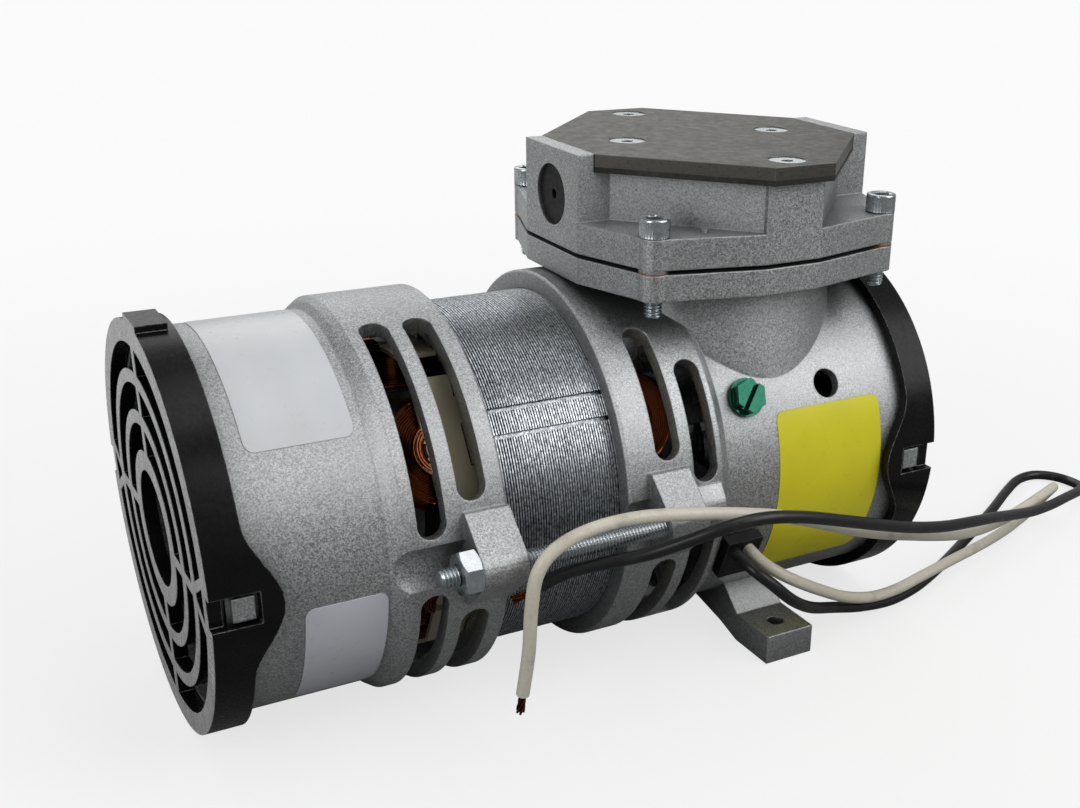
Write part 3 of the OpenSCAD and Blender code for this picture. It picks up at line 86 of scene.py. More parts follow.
def make_camera():
    right = Vector((0.8592923570, -0.5108928536, 0.0245995375))
    down = Vector((-0.1864971372, -0.3577352850, -0.9150105375))
    forward = Vector((0.4762724671, 0.7816738181, -0.4026792509))
    data = bpy.data.cameras.new("camera")
    data.sensor_fit = "HORIZONTAL"
    data.sensor_width = 36.0
    data.lens = 45.93
    data.shift_x = -0.1085
    data.shift_y = 0.0800
    data.clip_start = 0.01
    data.clip_end = 30
    camera = bpy.data.objects.new("camera", data)
    turn = Matrix((right, -down, -forward)).transposed().to_4x4()
    camera.matrix_world = Matrix.Translation((-0.13517, -0.28104, 0.17322)) @ turn
    bpy.context.scene.collection.objects.link(camera)
    bpy.context.scene.camera = camera


def area_light(name, place, target, size, power, colour=(1, 1, 1)):
    data = bpy.data.lights.new(name, "AREA")
    data.shape = "RECTANGLE"
    data.size, data.size_y = size
    data.energy = power
    data.color = colour
    light = bpy.data.objects.new(name, data)
    place, target = Vector(place), Vector(target)
    aim = (target - place).to_track_quat("-Z", "Y").to_matrix().to_4x4()
    light.matrix_world = Matrix.Translation(place) @ aim
    bpy.context.scene.collection.objects.link(light)


def product(tree, a, b):
    node = tree.nodes.new("ShaderNodeMath")
    node.operation = "MULTIPLY"
    tree.links.new(a, node.inputs[0])
    tree.links.new(b, node.inputs[1])
    return node.outputs[0]


def sweep(tree, value, low, high, out_low, out_high):
    """An even turn from out_low to out_high as the value goes from low to high."""
    node = tree.nodes.new("ShaderNodeMapRange")
    node.interpolation_type = "SMOOTHSTEP"
    for name, number in zip(("From Min", "From Max", "To Min", "To Max"), (low, high, out_low, out_high)):
        node.inputs[name].default_value = number
    tree.links.new(value, node.inputs["Value"])
    return node.outputs[0]


def colour_ramp(tree, stops):
    ramp = tree.nodes.new("ShaderNodeValToRGB")
    ramp.color_ramp.interpolation = "EASE"
    while len(ramp.color_ramp.elements) < len(stops):
        ramp.color_ramp.elements.new(0.5)
    for element, (position, grey) in zip(ramp.color_ramp.elements, stops):
        element.position = position
        element.color = (grey, grey, grey, 1)
    return ramp


def make_stage():
    bpy.context.scene.view_settings.view_transform = "Standard"
    world = bpy.data.worlds.new("studio")
    bpy.context.scene.world = world
    world.use_nodes = True
    tree = world.node_tree
    tree.nodes.clear()
    out = tree.nodes.new("ShaderNodeOutputWorld")
    lit = tree.nodes.new("ShaderNodeBackground")
    shown = tree.nodes.new("ShaderNodeBackground")
    mix = tree.nodes.new("ShaderNodeMixShader")
    path = tree.nodes.new("ShaderNodeLightPath")
    place = tree.nodes.new("ShaderNodeTexCoord")
    split = tree.nodes.new("ShaderNodeSeparateXYZ")
    ramp = colour_ramp(tree, WORLD_STOPS)
    tree.links.new(place.outputs["Generated"], split.inputs[0])
    tree.links.new(split.outputs["Z"], ramp.inputs[0])
    tree.links.new(ramp.outputs[0], lit.inputs["Color"])
    front_to_back = sweep(tree, split.outputs["Y"], -0.7, 0.7, *WORLD_FRONT_BACK)
    tree.links.new(front_to_back, lit.inputs["Strength"])
    shown.inputs["Color"].default_value = (BACKDROP, BACKDROP, BACKDROP, 1)
    tree.links.new(path.outputs["Is Camera Ray"], mix.inputs[0])
    tree.links.new(lit.outputs[0], mix.inputs[1])
    tree.links.new(shown.outputs[0], mix.inputs[2])
    tree.links.new(mix.outputs[0], out.inputs["Surface"])

    bpy.ops.mesh.primitive_circle_add(vertices=96, radius=6.0, fill_type="NGON", location=(0, 0, -0.0002))
    floor = bpy.context.object
    floor.name = "floor"
    floor.data.materials.append(floor_material())
    for lamp in LAMPS:
        area_light(*lamp)


def floor_material():
    """Pale floor that keeps the object's shadow and turns evenly into the backdrop."""
    material = bpy.data.materials.new("floor")
    material.use_nodes = True
    tree = material.node_tree
    shader = tree.nodes["Principled BSDF"]
    shader.inputs["Roughness"].default_value = 0.9
    shader.inputs["Specular IOR Level"].default_value = 0.05
    glow = tree.nodes.new("ShaderNodeEmission")
    glow.inputs["Color"].default_value = (BACKDROP, BACKDROP, BACKDROP, 1)
    path = tree.nodes.new("ShaderNodeLightPath")
    coords = tree.nodes.new("ShaderNodeTexCoord")
    split = tree.nodes.new("ShaderNodeSeparateXYZ")
    length = tree.nodes.new("ShaderNodeVectorMath")
    length.operation = "LENGTH"
    tree.links.new(coords.outputs["Object"], length.inputs[0])
    tree.links.new(coords.outputs["Object"], split.inputs[0])
    grey = tree.nodes.new("ShaderNodeMix")
    grey.data_type = "FLOAT"
    tree.links.new(path.outputs["Is Camera Ray"], grey.inputs[0])
    tree.links.new(sweep(tree, split.outputs["Y"], -0.05, 0.25, *FLOOR_FRONT_BACK), grey.inputs[2])
    grey.inputs[3].default_value = FLOOR_GREY
    tree.links.new(grey.outputs[0], shader.inputs["Base Color"])
    far = sweep(tree, length.outputs["Value"], *GLOW_DISTANCES, *GLOW_SHARES)
    mix = tree.nodes.new("ShaderNodeMixShader")
    tree.links.new(product(tree, far, path.outputs["Is Camera Ray"]), mix.inputs[0])
    tree.links.new(shader.outputs[0], mix.inputs[1])
    tree.links.new(glow.outputs[0], mix.inputs[2])
    tree.links.new(mix.outputs[0], tree.nodes["Material Output"].inputs["Surface"])
    return material


# ---------------------------------------------------------------- materials


class Nodes:
    """A material's node tree, with object coordinates in millimetres."""

    def __init__(self, name):
        self.material = bpy.data.materials.new(name)
        self.material.use_nodes = True
        self.tree = self.material.node_tree
        self.shader = self.tree.nodes["Principled BSDF"]
        coords = self.tree.nodes.new("ShaderNodeTexCoord")
        self.mm = self.tree.nodes.new("ShaderNodeMapping")
        self.mm.inputs["Scale"].default_value = (1000, 1000, 1000)
        self.link(coords.outputs["Object"], self.mm.inputs["Vector"])
        self.place = self.mm.outputs[0]

    def link(self, source, target):
        self.tree.links.new(source, target)

    def stretched(self, scale):
        node = self.tree.nodes.new("ShaderNodeMapping")
        node.inputs["Scale"].default_value = scale
        self.link(self.place, node.inputs["Vector"])
        return node.outputs[0]

    def noise(self, scale, detail=2.0, rough=0.5, stretch=None):
        node = self.tree.nodes.new("ShaderNodeTexNoise")
        node.inputs["Scale"].default_value = scale
        node.inputs["Detail"].default_value = detail
        node.inputs["Roughness"].default_value = rough
        self.link(self.stretched(stretch) if stretch else self.place, node.inputs["Vector"])
        return node.outputs["Fac"]

    def cells(self, scale):
        node = self.tree.nodes.new("ShaderNodeTexVoronoi")
        node.inputs["Scale"].default_value = scale
        self.link(self.place, node.inputs["Vector"])
        split = self.tree.nodes.new("ShaderNodeSeparateColor")
        self.link(node.outputs["Color"], split.inputs[0])
        return split.outputs[0]

    def span(self, value, low, high, out_low, out_high):
        node = self.tree.nodes.new("ShaderNodeMapRange")
        for name, number in zip(("From Min", "From Max", "To Min", "To Max"), (low, high, out_low, out_high)):
            node.inputs[name].default_value = number
        self.link(value, node.inputs["Value"])
        return node.outputs[0]

    def maths(self, kind, a, b):
        node = self.tree.nodes.new("ShaderNodeMath")
        node.operation = kind
        for slot, value in zip(node.inputs, (a, b)):
            if isinstance(value, (int, float)):
                slot.default_value = value
            else:
                self.link(value, slot)
        return node.outputs[0]

    def mix(self, share, a, b):
        """Colour from a to b as share goes from 0 to 1. a and b are colours or outputs."""
        node = self.tree.nodes.new("ShaderNodeMix")
        node.data_type = "RGBA"
        self.link(share, node.inputs[0])
        for slot, value in ((node.inputs[6], a), (node.inputs[7], b)):
            if isinstance(value, tuple):
                slot.default_value = (*value, 1)
            else:
                self.link(value, slot)
        return node.outputs[2]

    def bevel(self, radius):
        node = self.tree.nodes.new("ShaderNodeBevel")
        node.samples = 4
        node.inputs["Radius"].default_value = radius * MM
        return node.outputs[0]

    def edge_share(self, normal, low=0.02, high=0.2):
        """Share from 0 on flat ground to 1 on edges, from how far the rounded normal leans."""
        geometry = self.tree.nodes.new("ShaderNodeNewGeometry")
        dot = self.tree.nodes.new("ShaderNodeVectorMath")
        dot.operation = "DOT_PRODUCT"
        self.link(normal, dot.inputs[0])
        self.link(geometry.outputs["Normal"], dot.inputs[1])
        return self.span(dot.outputs["Value"], 1 - low, 1 - high, 0, 1)

    def bump(self, height, distance, strength=1.0, normal=None):
        node = self.tree.nodes.new("ShaderNodeBump")
        node.inputs["Distance"].default_value = distance * MM
        node.inputs["Strength"].default_value = strength
        self.link(height, node.inputs["Height"])
        if normal is not None:
            self.link(normal, node.inputs["Normal"])
        return node.outputs[0]

    def crevices(self, distance):
        node = self.tree.nodes.new("ShaderNodeAmbientOcclusion")
        node.samples = 6
        node.inputs["Distance"].default_value = distance * MM
        return node.outputs["AO"]

    def finish(self, colour, rough, metal=0.0, normal=None, **constants):
        self.link(colour, self.shader.inputs["Base Color"])
        self.link(rough, self.shader.inputs["Roughness"])
        self.shader.inputs["Metallic"].default_value = metal
        if normal is not None:
            self.link(normal, self.shader.inputs["Normal"])
        for name, value in constants.items():
            self.shader.inputs[name.replace("_", " ")].default_value = value
        return self.material


def scaled(colour, factor):
    return tuple(min(1.0, c * factor) for c in colour)


def metal(name, colour, rough, grain=4.0, grain_share=0.1, bump=0.01, edge=0.3, crevice_shade=None, streak=None,
          edge_wear_and_highlight=1.25, metallic=1.0):
    """A metal with fine grain in its colour, uneven gloss, edges painted lighter as a painted highlight and
    painted shade in its crevices.
    """
    n = Nodes(name)
    fine = n.noise(grain, 3.0, 0.6, streak)
    wide = n.noise(0.09, 3.0)
    dark, bright = scaled(colour, 1 - grain_share), scaled(colour, 1 + grain_share)
    shade = n.mix(n.span(fine, 0.3, 0.7, 0, 1), dark, bright)
    shade = n.mix(n.span(wide, 0.4, 0.75, 0, 0.25), shade, scaled(colour, 0.72))
    normal = n.bevel(edge) if edge else None
    if edge:
        # Painted highlight: the rounded edges are painted lighter, as if they caught the light.
        shade = n.mix(n.edge_share(normal), shade, scaled(colour, edge_wear_and_highlight))
    if crevice_shade:
        # Painted shade: crevices found by ambient occlusion are darkened towards the given colour.
        shade = n.mix(n.span(n.crevices(crevice_shade[0]), 0.15, 0.75, 1, 0), shade, crevice_shade[1])
    uneven = n.span(n.noise(0.6, 3.0), 0.3, 0.7, rough * 0.85, rough * 1.2)
    return n.finish(shade, uneven, metallic, n.bump(fine, bump, 0.6, normal))


def cast_metal(name, colour, rough, sparkle=0.42):
    """Blasted die casting: grains of uneven tone with painted glints, edges painted lighter as a highlight, a
    soft skin and painted shade in the corners.
    """
    n = Nodes(name)
    speck = n.cells(3.9)
    glint = n.cells(3.6)
    fine = n.noise(5.5, 3.0, 0.65)
    soft = n.noise(0.5, 3.0)
    wide = n.noise(0.05, 3.0)
    shade = n.mix(speck, scaled(colour, 1 - sparkle), scaled(colour, 1 + sparkle))
    # Painted glints: a few grains are painted much brighter, as if they caught the light.
    shade = n.mix(n.span(glint, 0.90, 0.97, 0, 0.6), shade, scaled(colour, 1.7))
    shade = n.mix(n.span(wide, 0.42, 0.7, 0, 0.25), shade, scaled(colour, 0.8))
    normal = n.bevel(0.55)
    # Painted highlight: the rounded edges are painted lighter.
    shade = n.mix(n.span(n.edge_share(normal), 0, 1, 0, 0.45), shade, scaled(colour, 1.35))
    # Painted shade: corners and recesses are darkened by ambient occlusion reaching 12 mm.
    shade = n.mix(n.span(n.crevices(12.0), 0.15, 0.9, 0.9, 0), shade, scaled(colour, 0.3))
    gloss = n.span(speck, 0, 1, rough * 0.8, rough * 1.2)
    normal = n.bump(soft, 0.012, 0.5, normal)
    normal = n.bump(fine, 0.03, 0.7, normal)
    return n.finish(shade, gloss, 1.0, normal)


def moulded(name, colour, rough, edge=0.25, edge_wear_and_highlight=None, grain=1.6, bump=0.012, spread=0.25, **constants):
    """Moulded plastic or rubber: fine skin, uneven gloss and, where wear is given, pale worn edges."""
    n = Nodes(name)
    fine = n.noise(grain, 4.0, 0.6)
    wide = n.noise(0.12, 3.0)
    shade = n.mix(n.span(wide, 0.35, 0.7, 0, 1), scaled(colour, 1 - spread), scaled(colour, 1 + spread))
    normal = n.bevel(edge) if edge else None
    if edge_wear_and_highlight:
        patchy = n.span(n.noise(0.5, 4.0), 0.35, 0.6, 0.2, 1)
        rubbed = n.maths("MULTIPLY", n.edge_share(normal, 0.01, 0.12), patchy)
        shade = n.mix(rubbed, shade, edge_wear_and_highlight)
    gloss = n.span(n.noise(0.9, 4.0), 0.3, 0.7, rough * 0.82, rough * 1.25)
    return n.finish(shade, gloss, 0.0, n.bump(fine, bump, 0.6, normal), **constants)


def cover_plastic():
    """Black moulding with grey rubbed edges; its flat outer faces are painted a dull grey in patches, a
    painted reflection of their grazing sheen.
    """
    colour, scuff_and_sheen = (0.004, 0.004, 0.0045), (0.46, 0.46, 0.465)
    n = Nodes("cover_plastic")
    split = n.tree.nodes.new("ShaderNodeSeparateXYZ")
    n.link(n.place, split.inputs[0])
    from_middle = n.maths("ABSOLUTE", split.outputs[0], 0)
    outer_face = n.span(from_middle, COVER_FACE - 0.12, COVER_FACE - 0.02, 0, 1)
    fine = n.noise(1.6, 4.0, 0.6)
    patch = n.span(n.noise(0.25, 4.0, 0.6), 0.3, 0.65, 0.65, 1)
    shade = n.mix(n.span(n.noise(0.12, 3.0), 0.35, 0.7, 0, 1), scaled(colour, 0.8), scaled(colour, 1.4))
    normal = n.bevel(0.35)
    patchy = n.span(n.noise(0.5, 4.0), 0.35, 0.6, 0.1, 0.7)
    rubbed = n.maths("MULTIPLY", n.edge_share(normal, 0.01, 0.15), patchy)
    shade = n.mix(rubbed, shade, scuff_and_sheen)
    # Painted reflection: the flat outer faces are painted grey in patches, in place of the sheen they reflect
    # at a grazing angle.
    shade = n.mix(n.maths("MULTIPLY", outer_face, patch), shade, scuff_and_sheen)
    gloss = n.span(n.noise(0.9, 4.0), 0.3, 0.7, 0.22, 0.32)
    return n.finish(shade, gloss, 0.0, n.bump(fine, 0.012, 0.6, normal), Specular_IOR_Level=0.2)


def make_materials():
    # Painted shade for metal()'s crevice_shade: how far in millimetres ambient occlusion looks, and the dark
    # colour painted where it finds crevices; the laminations, copper and green screw below carry their own,
    # darkening the gaps between plates and wires.
    zinc_crevice_shade = (1.2, (0.05, 0.05, 0.05))
    made = {
        "black_plastic": moulded("black_plastic", (0.010, 0.010, 0.011), 0.42, 0.3, (0.12, 0.12, 0.12),
                                 Specular_IOR_Level=0.16),
        "cast_aluminium": cast_metal("cast_aluminium", (0.47, 0.48, 0.485), 0.52),
        "lamination_steel": metal("lamination_steel", (0.43, 0.455, 0.48), 0.33, 1.0, 0.75, 0.04, None,
                                  (1.0, (0.010, 0.010, 0.012)), (1.62, 1.5, 1.5)),
        "bobbin_plastic": moulded("bobbin_plastic", (0.52, 0.48, 0.33), 0.45, 0.2, None, 1.2, 0.01, 0.12,
                                  Subsurface_Weight=0.15, Subsurface_Scale=0.002),
        "winding_copper": metal("winding_copper", (0.14, 0.040, 0.014), 0.20, 1.5, 0.35, 0.005, None,
                                (0.7, (0.02, 0.005, 0.002))),
        "zinc_steel": metal("zinc_steel", (0.56, 0.60, 0.62), 0.27, 1.2, 0.12, 0.01, 0.12, zinc_crevice_shade),
        "ground_steel": metal("ground_steel", (0.46, 0.47, 0.48), 0.25, 2.5, 0.08, 0.005, 0.2, None,
                              (6, 0.6, 0.6)),
        "bare_aluminium": metal("bare_aluminium", (0.62, 0.63, 0.64), 0.32, 3.0, 0.08, 0.01, 0.25),
        "black_steel": metal("black_steel", (0.03, 0.03, 0.032), 0.4, 3.0, 0.2, 0.01, 0.15, metallic=0.6),
        "bearing_steel": metal("bearing_steel", (0.62, 0.63, 0.65), 0.16, 3.0, 0.05, 0.003, 0.2),
        "seal_plastic": moulded("seal_plastic", (0.30, 0.26, 0.20), 0.5, 0.15),
        "black_rubber": moulded("black_rubber", (0.018, 0.018, 0.018), 0.6, 0.15),
        "spring_steel": metal("spring_steel", (0.42, 0.44, 0.47), 0.2, 3.0, 0.05, 0.003, None, None,
                              (0.4, 5, 5)),
        "copper_sheet": metal("copper_sheet", (0.50, 0.25, 0.13), 0.45, 2.0, 0.35, 0.02, None),
        "gasket_black": moulded("gasket_black", (0.02, 0.019, 0.016), 0.7, None, None, 3.0, 0.04, 0.5),
        "grey_plate": plate_metal(),
        "green_screw": metal("green_screw", (0.010, 0.10, 0.060), 0.13, 1.2, 0.25, 0.01, 0.15,
                             (1.5, (0.0, 0.03, 0.02)), metallic=0.75),
        "white_label": film("white_label", (0.70, 0.72, 0.74)),
        "grey_label": film("grey_label", (0.62, 0.63, 0.68)),
        "yellow_label": film("yellow_label", (0.78, 0.72, 0.03)),
        "white_insulation": insulation("white_insulation", (0.72, 0.69, 0.57), (0.36, 0.33, 0.27)),
        "black_insulation": insulation("black_insulation", (0.008, 0.008, 0.009), (0.03, 0.03, 0.03)),
    }
    slots = {row["node"]: row["material_slot"] for row in frame["record"]["subparts"]}
    for name, node in frame["nodes"].items():
        node.data.materials.clear()
        node.data.materials.append(made[slots[name]])
    covers = cover_plastic()
    for name in ("motor_fan_cover", "crankcase_fan_cover"):
        frame["nodes"][name].data.materials[0] = covers
    return made


def plate_metal():
    """Rolled plate: dull, faintly brushed, with pits and small scratches."""
    colour = (0.094, 0.092, 0.082)
    n = Nodes("grey_plate")
    brushed = n.noise(1.6, 4.0, 0.6, (0.25, 2.2, 1.0))
    pits = n.cells(1.9)
    wide = n.noise(0.05, 3.0)
    shade = n.mix(n.span(brushed, 0.3, 0.7, 0, 1), scaled(colour, 0.85), scaled(colour, 1.15))
    shade = n.mix(n.span(pits, 0.86, 0.95, 0, 0.6), shade, scaled(colour, 0.55))
    shade = n.mix(n.span(wide, 0.4, 0.7, 0, 0.4), shade, scaled(colour, 1.25))
    normal = n.bevel(0.35)
    shade = n.mix(n.edge_share(normal), shade, (0.34, 0.34, 0.32))
    gloss = n.span(n.noise(0.5, 4.0), 0.3, 0.7, 0.42, 0.58)
    return n.finish(shade, gloss, 0.75, n.bump(brushed, 0.02, 0.6, normal))


def film(name, colour):
    """Printed film, left blank: glossy, with faint waves from the casting under it."""
    n = Nodes(name)
    wide = n.noise(0.08, 2.0)
    fine = n.noise(1.8, 3.0)
    shade = n.mix(n.span(wide, 0.35, 0.7, 0, 1), colour, scaled(colour, 0.93))
    shade = n.mix(n.span(fine, 0.66, 0.8, 0, 0.12), shade, scaled(colour, 0.6))
    gloss = n.span(n.noise(0.4, 3.0), 0.3, 0.7, 0.26, 0.36)
    return n.finish(shade, gloss, 0.0, n.bump(fine, 0.004, 0.5, n.bevel(0.1)), Specular_IOR_Level=0.3)


def insulation(name, colour, soil):
    """Wire insulation: satin skin with soiled stretches."""
    n = Nodes(name)
    wide = n.noise(0.14, 4.0, 0.6)
    fine = n.noise(1.4, 3.0)
    shade = n.mix(n.span(fine, 0.3, 0.7, 0, 1), colour, scaled(colour, 0.9))
    shade = n.mix(n.span(wide, 0.56, 0.72, 0, 0.5), shade, soil)
    gloss = n.span(n.noise(0.5, 3.0), 0.3, 0.7, 0.3, 0.42)
    return n.finish(shade, gloss, 0.0, n.bump(n.noise(0.6, 3.0), 0.03, 0.5))


# ---------------------------------------------------------------- mesh helpers


def add_mesh(name, verts, faces, body, material, smooth_angle=math.radians(35)):
    """A mesh given in millimetres, shaded smooth but for its sharp edges, that rides on a CAD body."""
    data = bpy.data.meshes.new(name)
    data.from_pydata([tuple(c * MM for c in v) for v in verts], [], faces)
    data.validate()
    data.update()
    data.materials.append(material)
    piece = bpy.data.objects.new(name, data)
    bpy.context.scene.collection.objects.link(piece)
    if smooth_angle:
        data.polygons.foreach_set("use_smooth", [True] * len(data.polygons))
        data.set_sharp_from_angle(angle=smooth_angle)
    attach(piece, body)
    return piece


class Shape:
    """Vertices and faces that build up into one mesh, in millimetres."""

    def __init__(self):
        self.verts = []
        self.faces = []

    def add(self, verts, faces, place=None):
        base = len(self.verts)
        if place is not None:
            verts = [place @ Vector(v) for v in verts]
        self.verts.extend(tuple(v) for v in verts)
        self.faces.extend(tuple(i + base for i in f) for f in faces)

    def rings(self, rings, place=None, closed_ends=True):
        """A skin over rings that have the same number of points."""
        count = len(rings[0])
        verts = [p for ring in rings for p in ring]
        faces = []
        for k in range(len(rings) - 1):
            for i in range(count):
                j = (i + 1) % count
                faces.append((k * count + i, k * count + j, (k + 1) * count + j, (k + 1) * count + i))
        if closed_ends:
            faces.append(tuple(reversed(range(count))))
            faces.append(tuple(range((len(rings) - 1) * count, len(rings) * count)))
        self.add(verts, faces, place)

    def tube(self, points, radius, sides):
        """A round tube along points, with its section carried along without twist."""
        points = [Vector(p) for p in points]
        rings = []
        ahead = (points[1] - points[0]).normalized()
        side = ahead.orthogonal().normalized()
        for i, p in enumerate(points):
            a, b = points[max(i - 1, 0)], points[min(i + 1, len(points) - 1)]
            along = (b - a).normalized()
            side = (side - along * side.dot(along)).normalized()
            up = along.cross(side)
            turns = [2 * math.pi * k / sides for k in range(sides)]
            rings.append([p + (side * math.cos(t) + up * math.sin(t)) * radius for t in turns])
        self.rings(rings)


def thread_rings(start, end, radius, pitch, depth, sides=24, per_pitch=8, blunt=0.5):
    """Rings of a V-threaded rod along Z, with a chamfer at both ends."""
    rings = []
    count = int(round((end - start) / pitch * per_pitch))
    for k in range(count + 1):
        z = start + (end - start) * k / count
        near_end = min(z - start, end - z)
        ring = []
        for i in range(sides):
            turn = i / sides
            phase = (z / pitch - turn) % 1.0
            height = max(0.0, 1 - abs(phase - 0.5) / 0.4)
            r = radius - depth + depth * min(1.0, height * 1.25)
            r = min(r, radius - depth + (near_end / blunt) * depth) if near_end < blunt else r
            ring.append((r * math.cos(2 * math.pi * turn), r * math.sin(2 * math.pi * turn), z))
        rings.append(ring)
    return rings


def smooth_route(route, per_span=8):
    """Points on a Catmull-Rom curve through the route's points, once these are evened without shrinking."""
    pts = [Vector(p) for p in route]
    for share in EVENING:
        evened = [p + ((a + b) / 2 - p) * share for a, p, b in zip(pts[1:], pts[2:-1], pts[3:])]
        pts = pts[:2] + evened + pts[-1:]
    pts = [2 * pts[0] - pts[1]] + pts + [2 * pts[-1] - pts[-2]]
    out = []
    for i in range(1, len(pts) - 2):
        a, b, c, d = pts[i - 1:i + 3]
        for k in range(per_span):
            t = k / per_span
            out.append(0.5 * ((2 * b) + (c - a) * t + (2 * a - 5 * b + 4 * c - d) * t * t
                              + (3 * b - a - 3 * c + d) * t ** 3))
    out.append(pts[-2])
    return out


# ---------------------------------------------------------------- leads

WHITE_ROUTE = [
    (35.5, -42.5, 30.5), (36, -47.5, 29), (39, -50.5, 26.5), (45.5, -51.5, 22.5), (54.5, -49, 17.5),
    (63.5, -45.5, 11.5), (75, -43, 7.5), (86, -40, 5.5), (98, -36, 5), (111, -33, 5),
    (123, -29, 4), (135.5, -24, 2.5), (147.5, -19, 1.5), (157, -15, 1.5), (161.5, -14.5, 3.5),
    (164, -15.5, 7), (163.5, -18.5, 10.5), (160, -21.5, 12.5), (150.5, -26, 13.5), (139, -29.5, 13),
    (127, -33, 13), (116, -37, 15), (104, -41.5, 18), (92, -46, 22.5), (80, -50, 27),
    (68, -53.5, 31.5), (56, -56, 36), (44, -58, 41.5), (33, -59, 46), (21.5, -59.5, 49),
    (8.5, -59, 51.5), (-4, -58.5, 53.5), (-14.5, -58.5, 53), (-23, -58.5, 50.5), (-27, -58.5, 46),
    (-28.5, -58, 38.5), (-28, -56.5, 26.5), (-29, -54.5, 16),
]
BLACK_ROUTE = [
    (31.5, -42.5, 30.5), (32.5, -49.5, 28.5), (36, -52.5, 25.5), (42, -53.5, 19.5), (50.5, -49, 13.5),
    (61.5, -44, 9), (73, -41.5, 4.5), (85.5, -39, 2), (98.5, -35, 1.5), (111, -29, 1.5),
    (124.5, -22, 1.5), (138.5, -14.5, 1.5), (152, -7, 1.5), (164.5, 0.5, 1.5), (175, 6.5, 1.5),
    (182, 6.5, 1.5), (187, 3, 1.5), (189, -3, 1.5), (186.5, -9.5, 2.5), (179, -15, 5),
    (167, -21, 8), (153.5, -27.5, 10.5), (140.5, -33, 13.5), (127.5, -38, 17.5), (114, -44, 22),
    (101, -49.5, 26), (87.5, -53.5, 29), (74, -57.5, 33.5), (60.5, -61, 38.5), (47, -63.5, 43.5),
    (33.5, -65, 48), (23, -65.5, 50.5), (14.5, -64, 49), (7.5, -59.5, 46), (-0.5, -55.5, 42),
    (-7.5, -51, 40.5), (-16.5, -49, 39.5), (-22.5, -46.5, 35.5),
]
LEAD_R = 1.45
# How far each pass moves a point towards the middle of its neighbours, and back out again
EVENING = (0.45, -0.47) * 2
STRAND_L = 5.0
STRANDS = 7
STRAND_R = 0.27
STRAND_SPREAD = 0.56


def make_strands(name, tip, along, nodes, material):
    """Seven twisted copper strands that stick out of the insulation."""
    shape = Shape()
    side = along.orthogonal().normalized()
    up = along.cross(side)
    for k in range(STRANDS):
        reach = 0.0 if k == STRANDS - 1 else STRAND_SPREAD
        points = []
        for i in range(9):
            t = i / 8
            turn = 2 * math.pi * (k / 6 + 0.45 * t)
            spread = reach * (1 + 0.35 * t * t)
            points.append(tip + along * (STRAND_L * t * (1 - 0.04 * (k % 3))) - along * 1.2 * (1 - t)
                          + (side * math.cos(turn) + up * math.sin(turn)) * spread)
        shape.tube(points, STRAND_R, 8)
    piece = add_mesh(name, shape.verts, shape.faces, "housing", material)
    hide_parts(*nodes)
    return piece


def make_lead(name, route, slot, materials):
    points = smooth_route(route)
    for point in points:
        point.z = max(point.z, LEAD_R)
    ends = [points[-1], (points[-1] - points[-2]).normalized()]
    curve = bpy.data.curves.new(name, "CURVE")
    curve.dimensions = "3D"
    curve.bevel_depth = LEAD_R * MM
    curve.bevel_resolution = 6
    curve.use_fill_caps = True
    spline = curve.splines.new("POLY")
    spline.points.add(len(points) - 1)
    for point, place in zip(spline.points, points):
        point.co = (*(place * MM), 1)
    spline.use_smooth = True
    curve.materials.append(materials[slot])
    piece = bpy.data.objects.new(name, curve)
    bpy.context.scene.collection.objects.link(piece)
    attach(piece, "housing")
    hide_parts(name.replace("_insulation", ""))
    strands = make_strands(name.replace("insulation", "copper_end"), ends[0], ends[1],
                           [name.replace("_insulation", "_strands")], materials["winding_copper"])


# ---------------------------------------------------------------- motor


def on_shaft(radius, angle, x):
    """A point at an angle above the front, about the shaft."""
    a = math.radians(angle)
    return (x, -radius * math.cos(a), SHAFT_H + radius * math.sin(a))


PLATES = 54
PLATE_R = 40.5
PLATE_FOOT_R = 39.3
PLATE_CHAMFER = 0.09
HALF_GAP = 0.10
CORE_R = 39.55
GROOVE_R = 39.6
# Angles above the front of the weld grooves, in pairs, three times round
GROOVES = [a + 120 * k for k in range(3) for a in (31.8, 40.2)]


def make_laminations(material):
    """The stack as separate steel plates over a core that copies the CAD solid, kept inside their gaps."""
    source = frame["nodes"]["stator_stack"]
    shape = Shape()
    verts = []
    for v in source.data.vertices:
        x, y, z = (c / MM for c in v.co)
        r = math.hypot(y, z - SHAFT_H)
        pull = CORE_R / r if r > CORE_R - 0.05 else 1.0
        verts.append((x, y * pull, SHAFT_H + (z - SHAFT_H) * pull))
    shape.add(verts, [tuple(p.vertices) for p in source.data.polygons])
    angles = [i * 1.5 for i in range(240)]
    for g in GROOVES:
        angles = [a for a in angles if abs(a - g) > 0.9]
        angles += [g - 0.72, g - 0.62, g + 0.62, g + 0.72]
    angles.sort()
    draw = random.Random(5)
    pitch = (STACK_X1 - STACK_X0) / PLATES
    for k in range(PLATES):
        x0 = STACK_X0 + k * pitch + HALF_GAP
        x1 = STACK_X0 + (k + 1) * pitch - HALF_GAP
        outer = PLATE_R - draw.uniform(0.0, 0.07)
        edge = outer - 0.07
        rings = []
        for x, r in ((x0, PLATE_FOOT_R), (x0, edge), (x0 + PLATE_CHAMFER, outer), (x1 - PLATE_CHAMFER, outer),
                     (x1, edge), (x1, PLATE_FOOT_R)):
            ring = []
            for a in angles:
                in_groove = any(abs(a - g) < 0.65 for g in GROOVES)
                ring.append(on_shaft(min(r, GROOVE_R) if in_groove else r, a, x))
            rings.append(ring)
        shape.rings(rings, closed_ends=False)
    piece = add_mesh("stator_laminations", shape.verts, shape.faces, "housing", material,
                     math.radians(25))
    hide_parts("stator_stack")


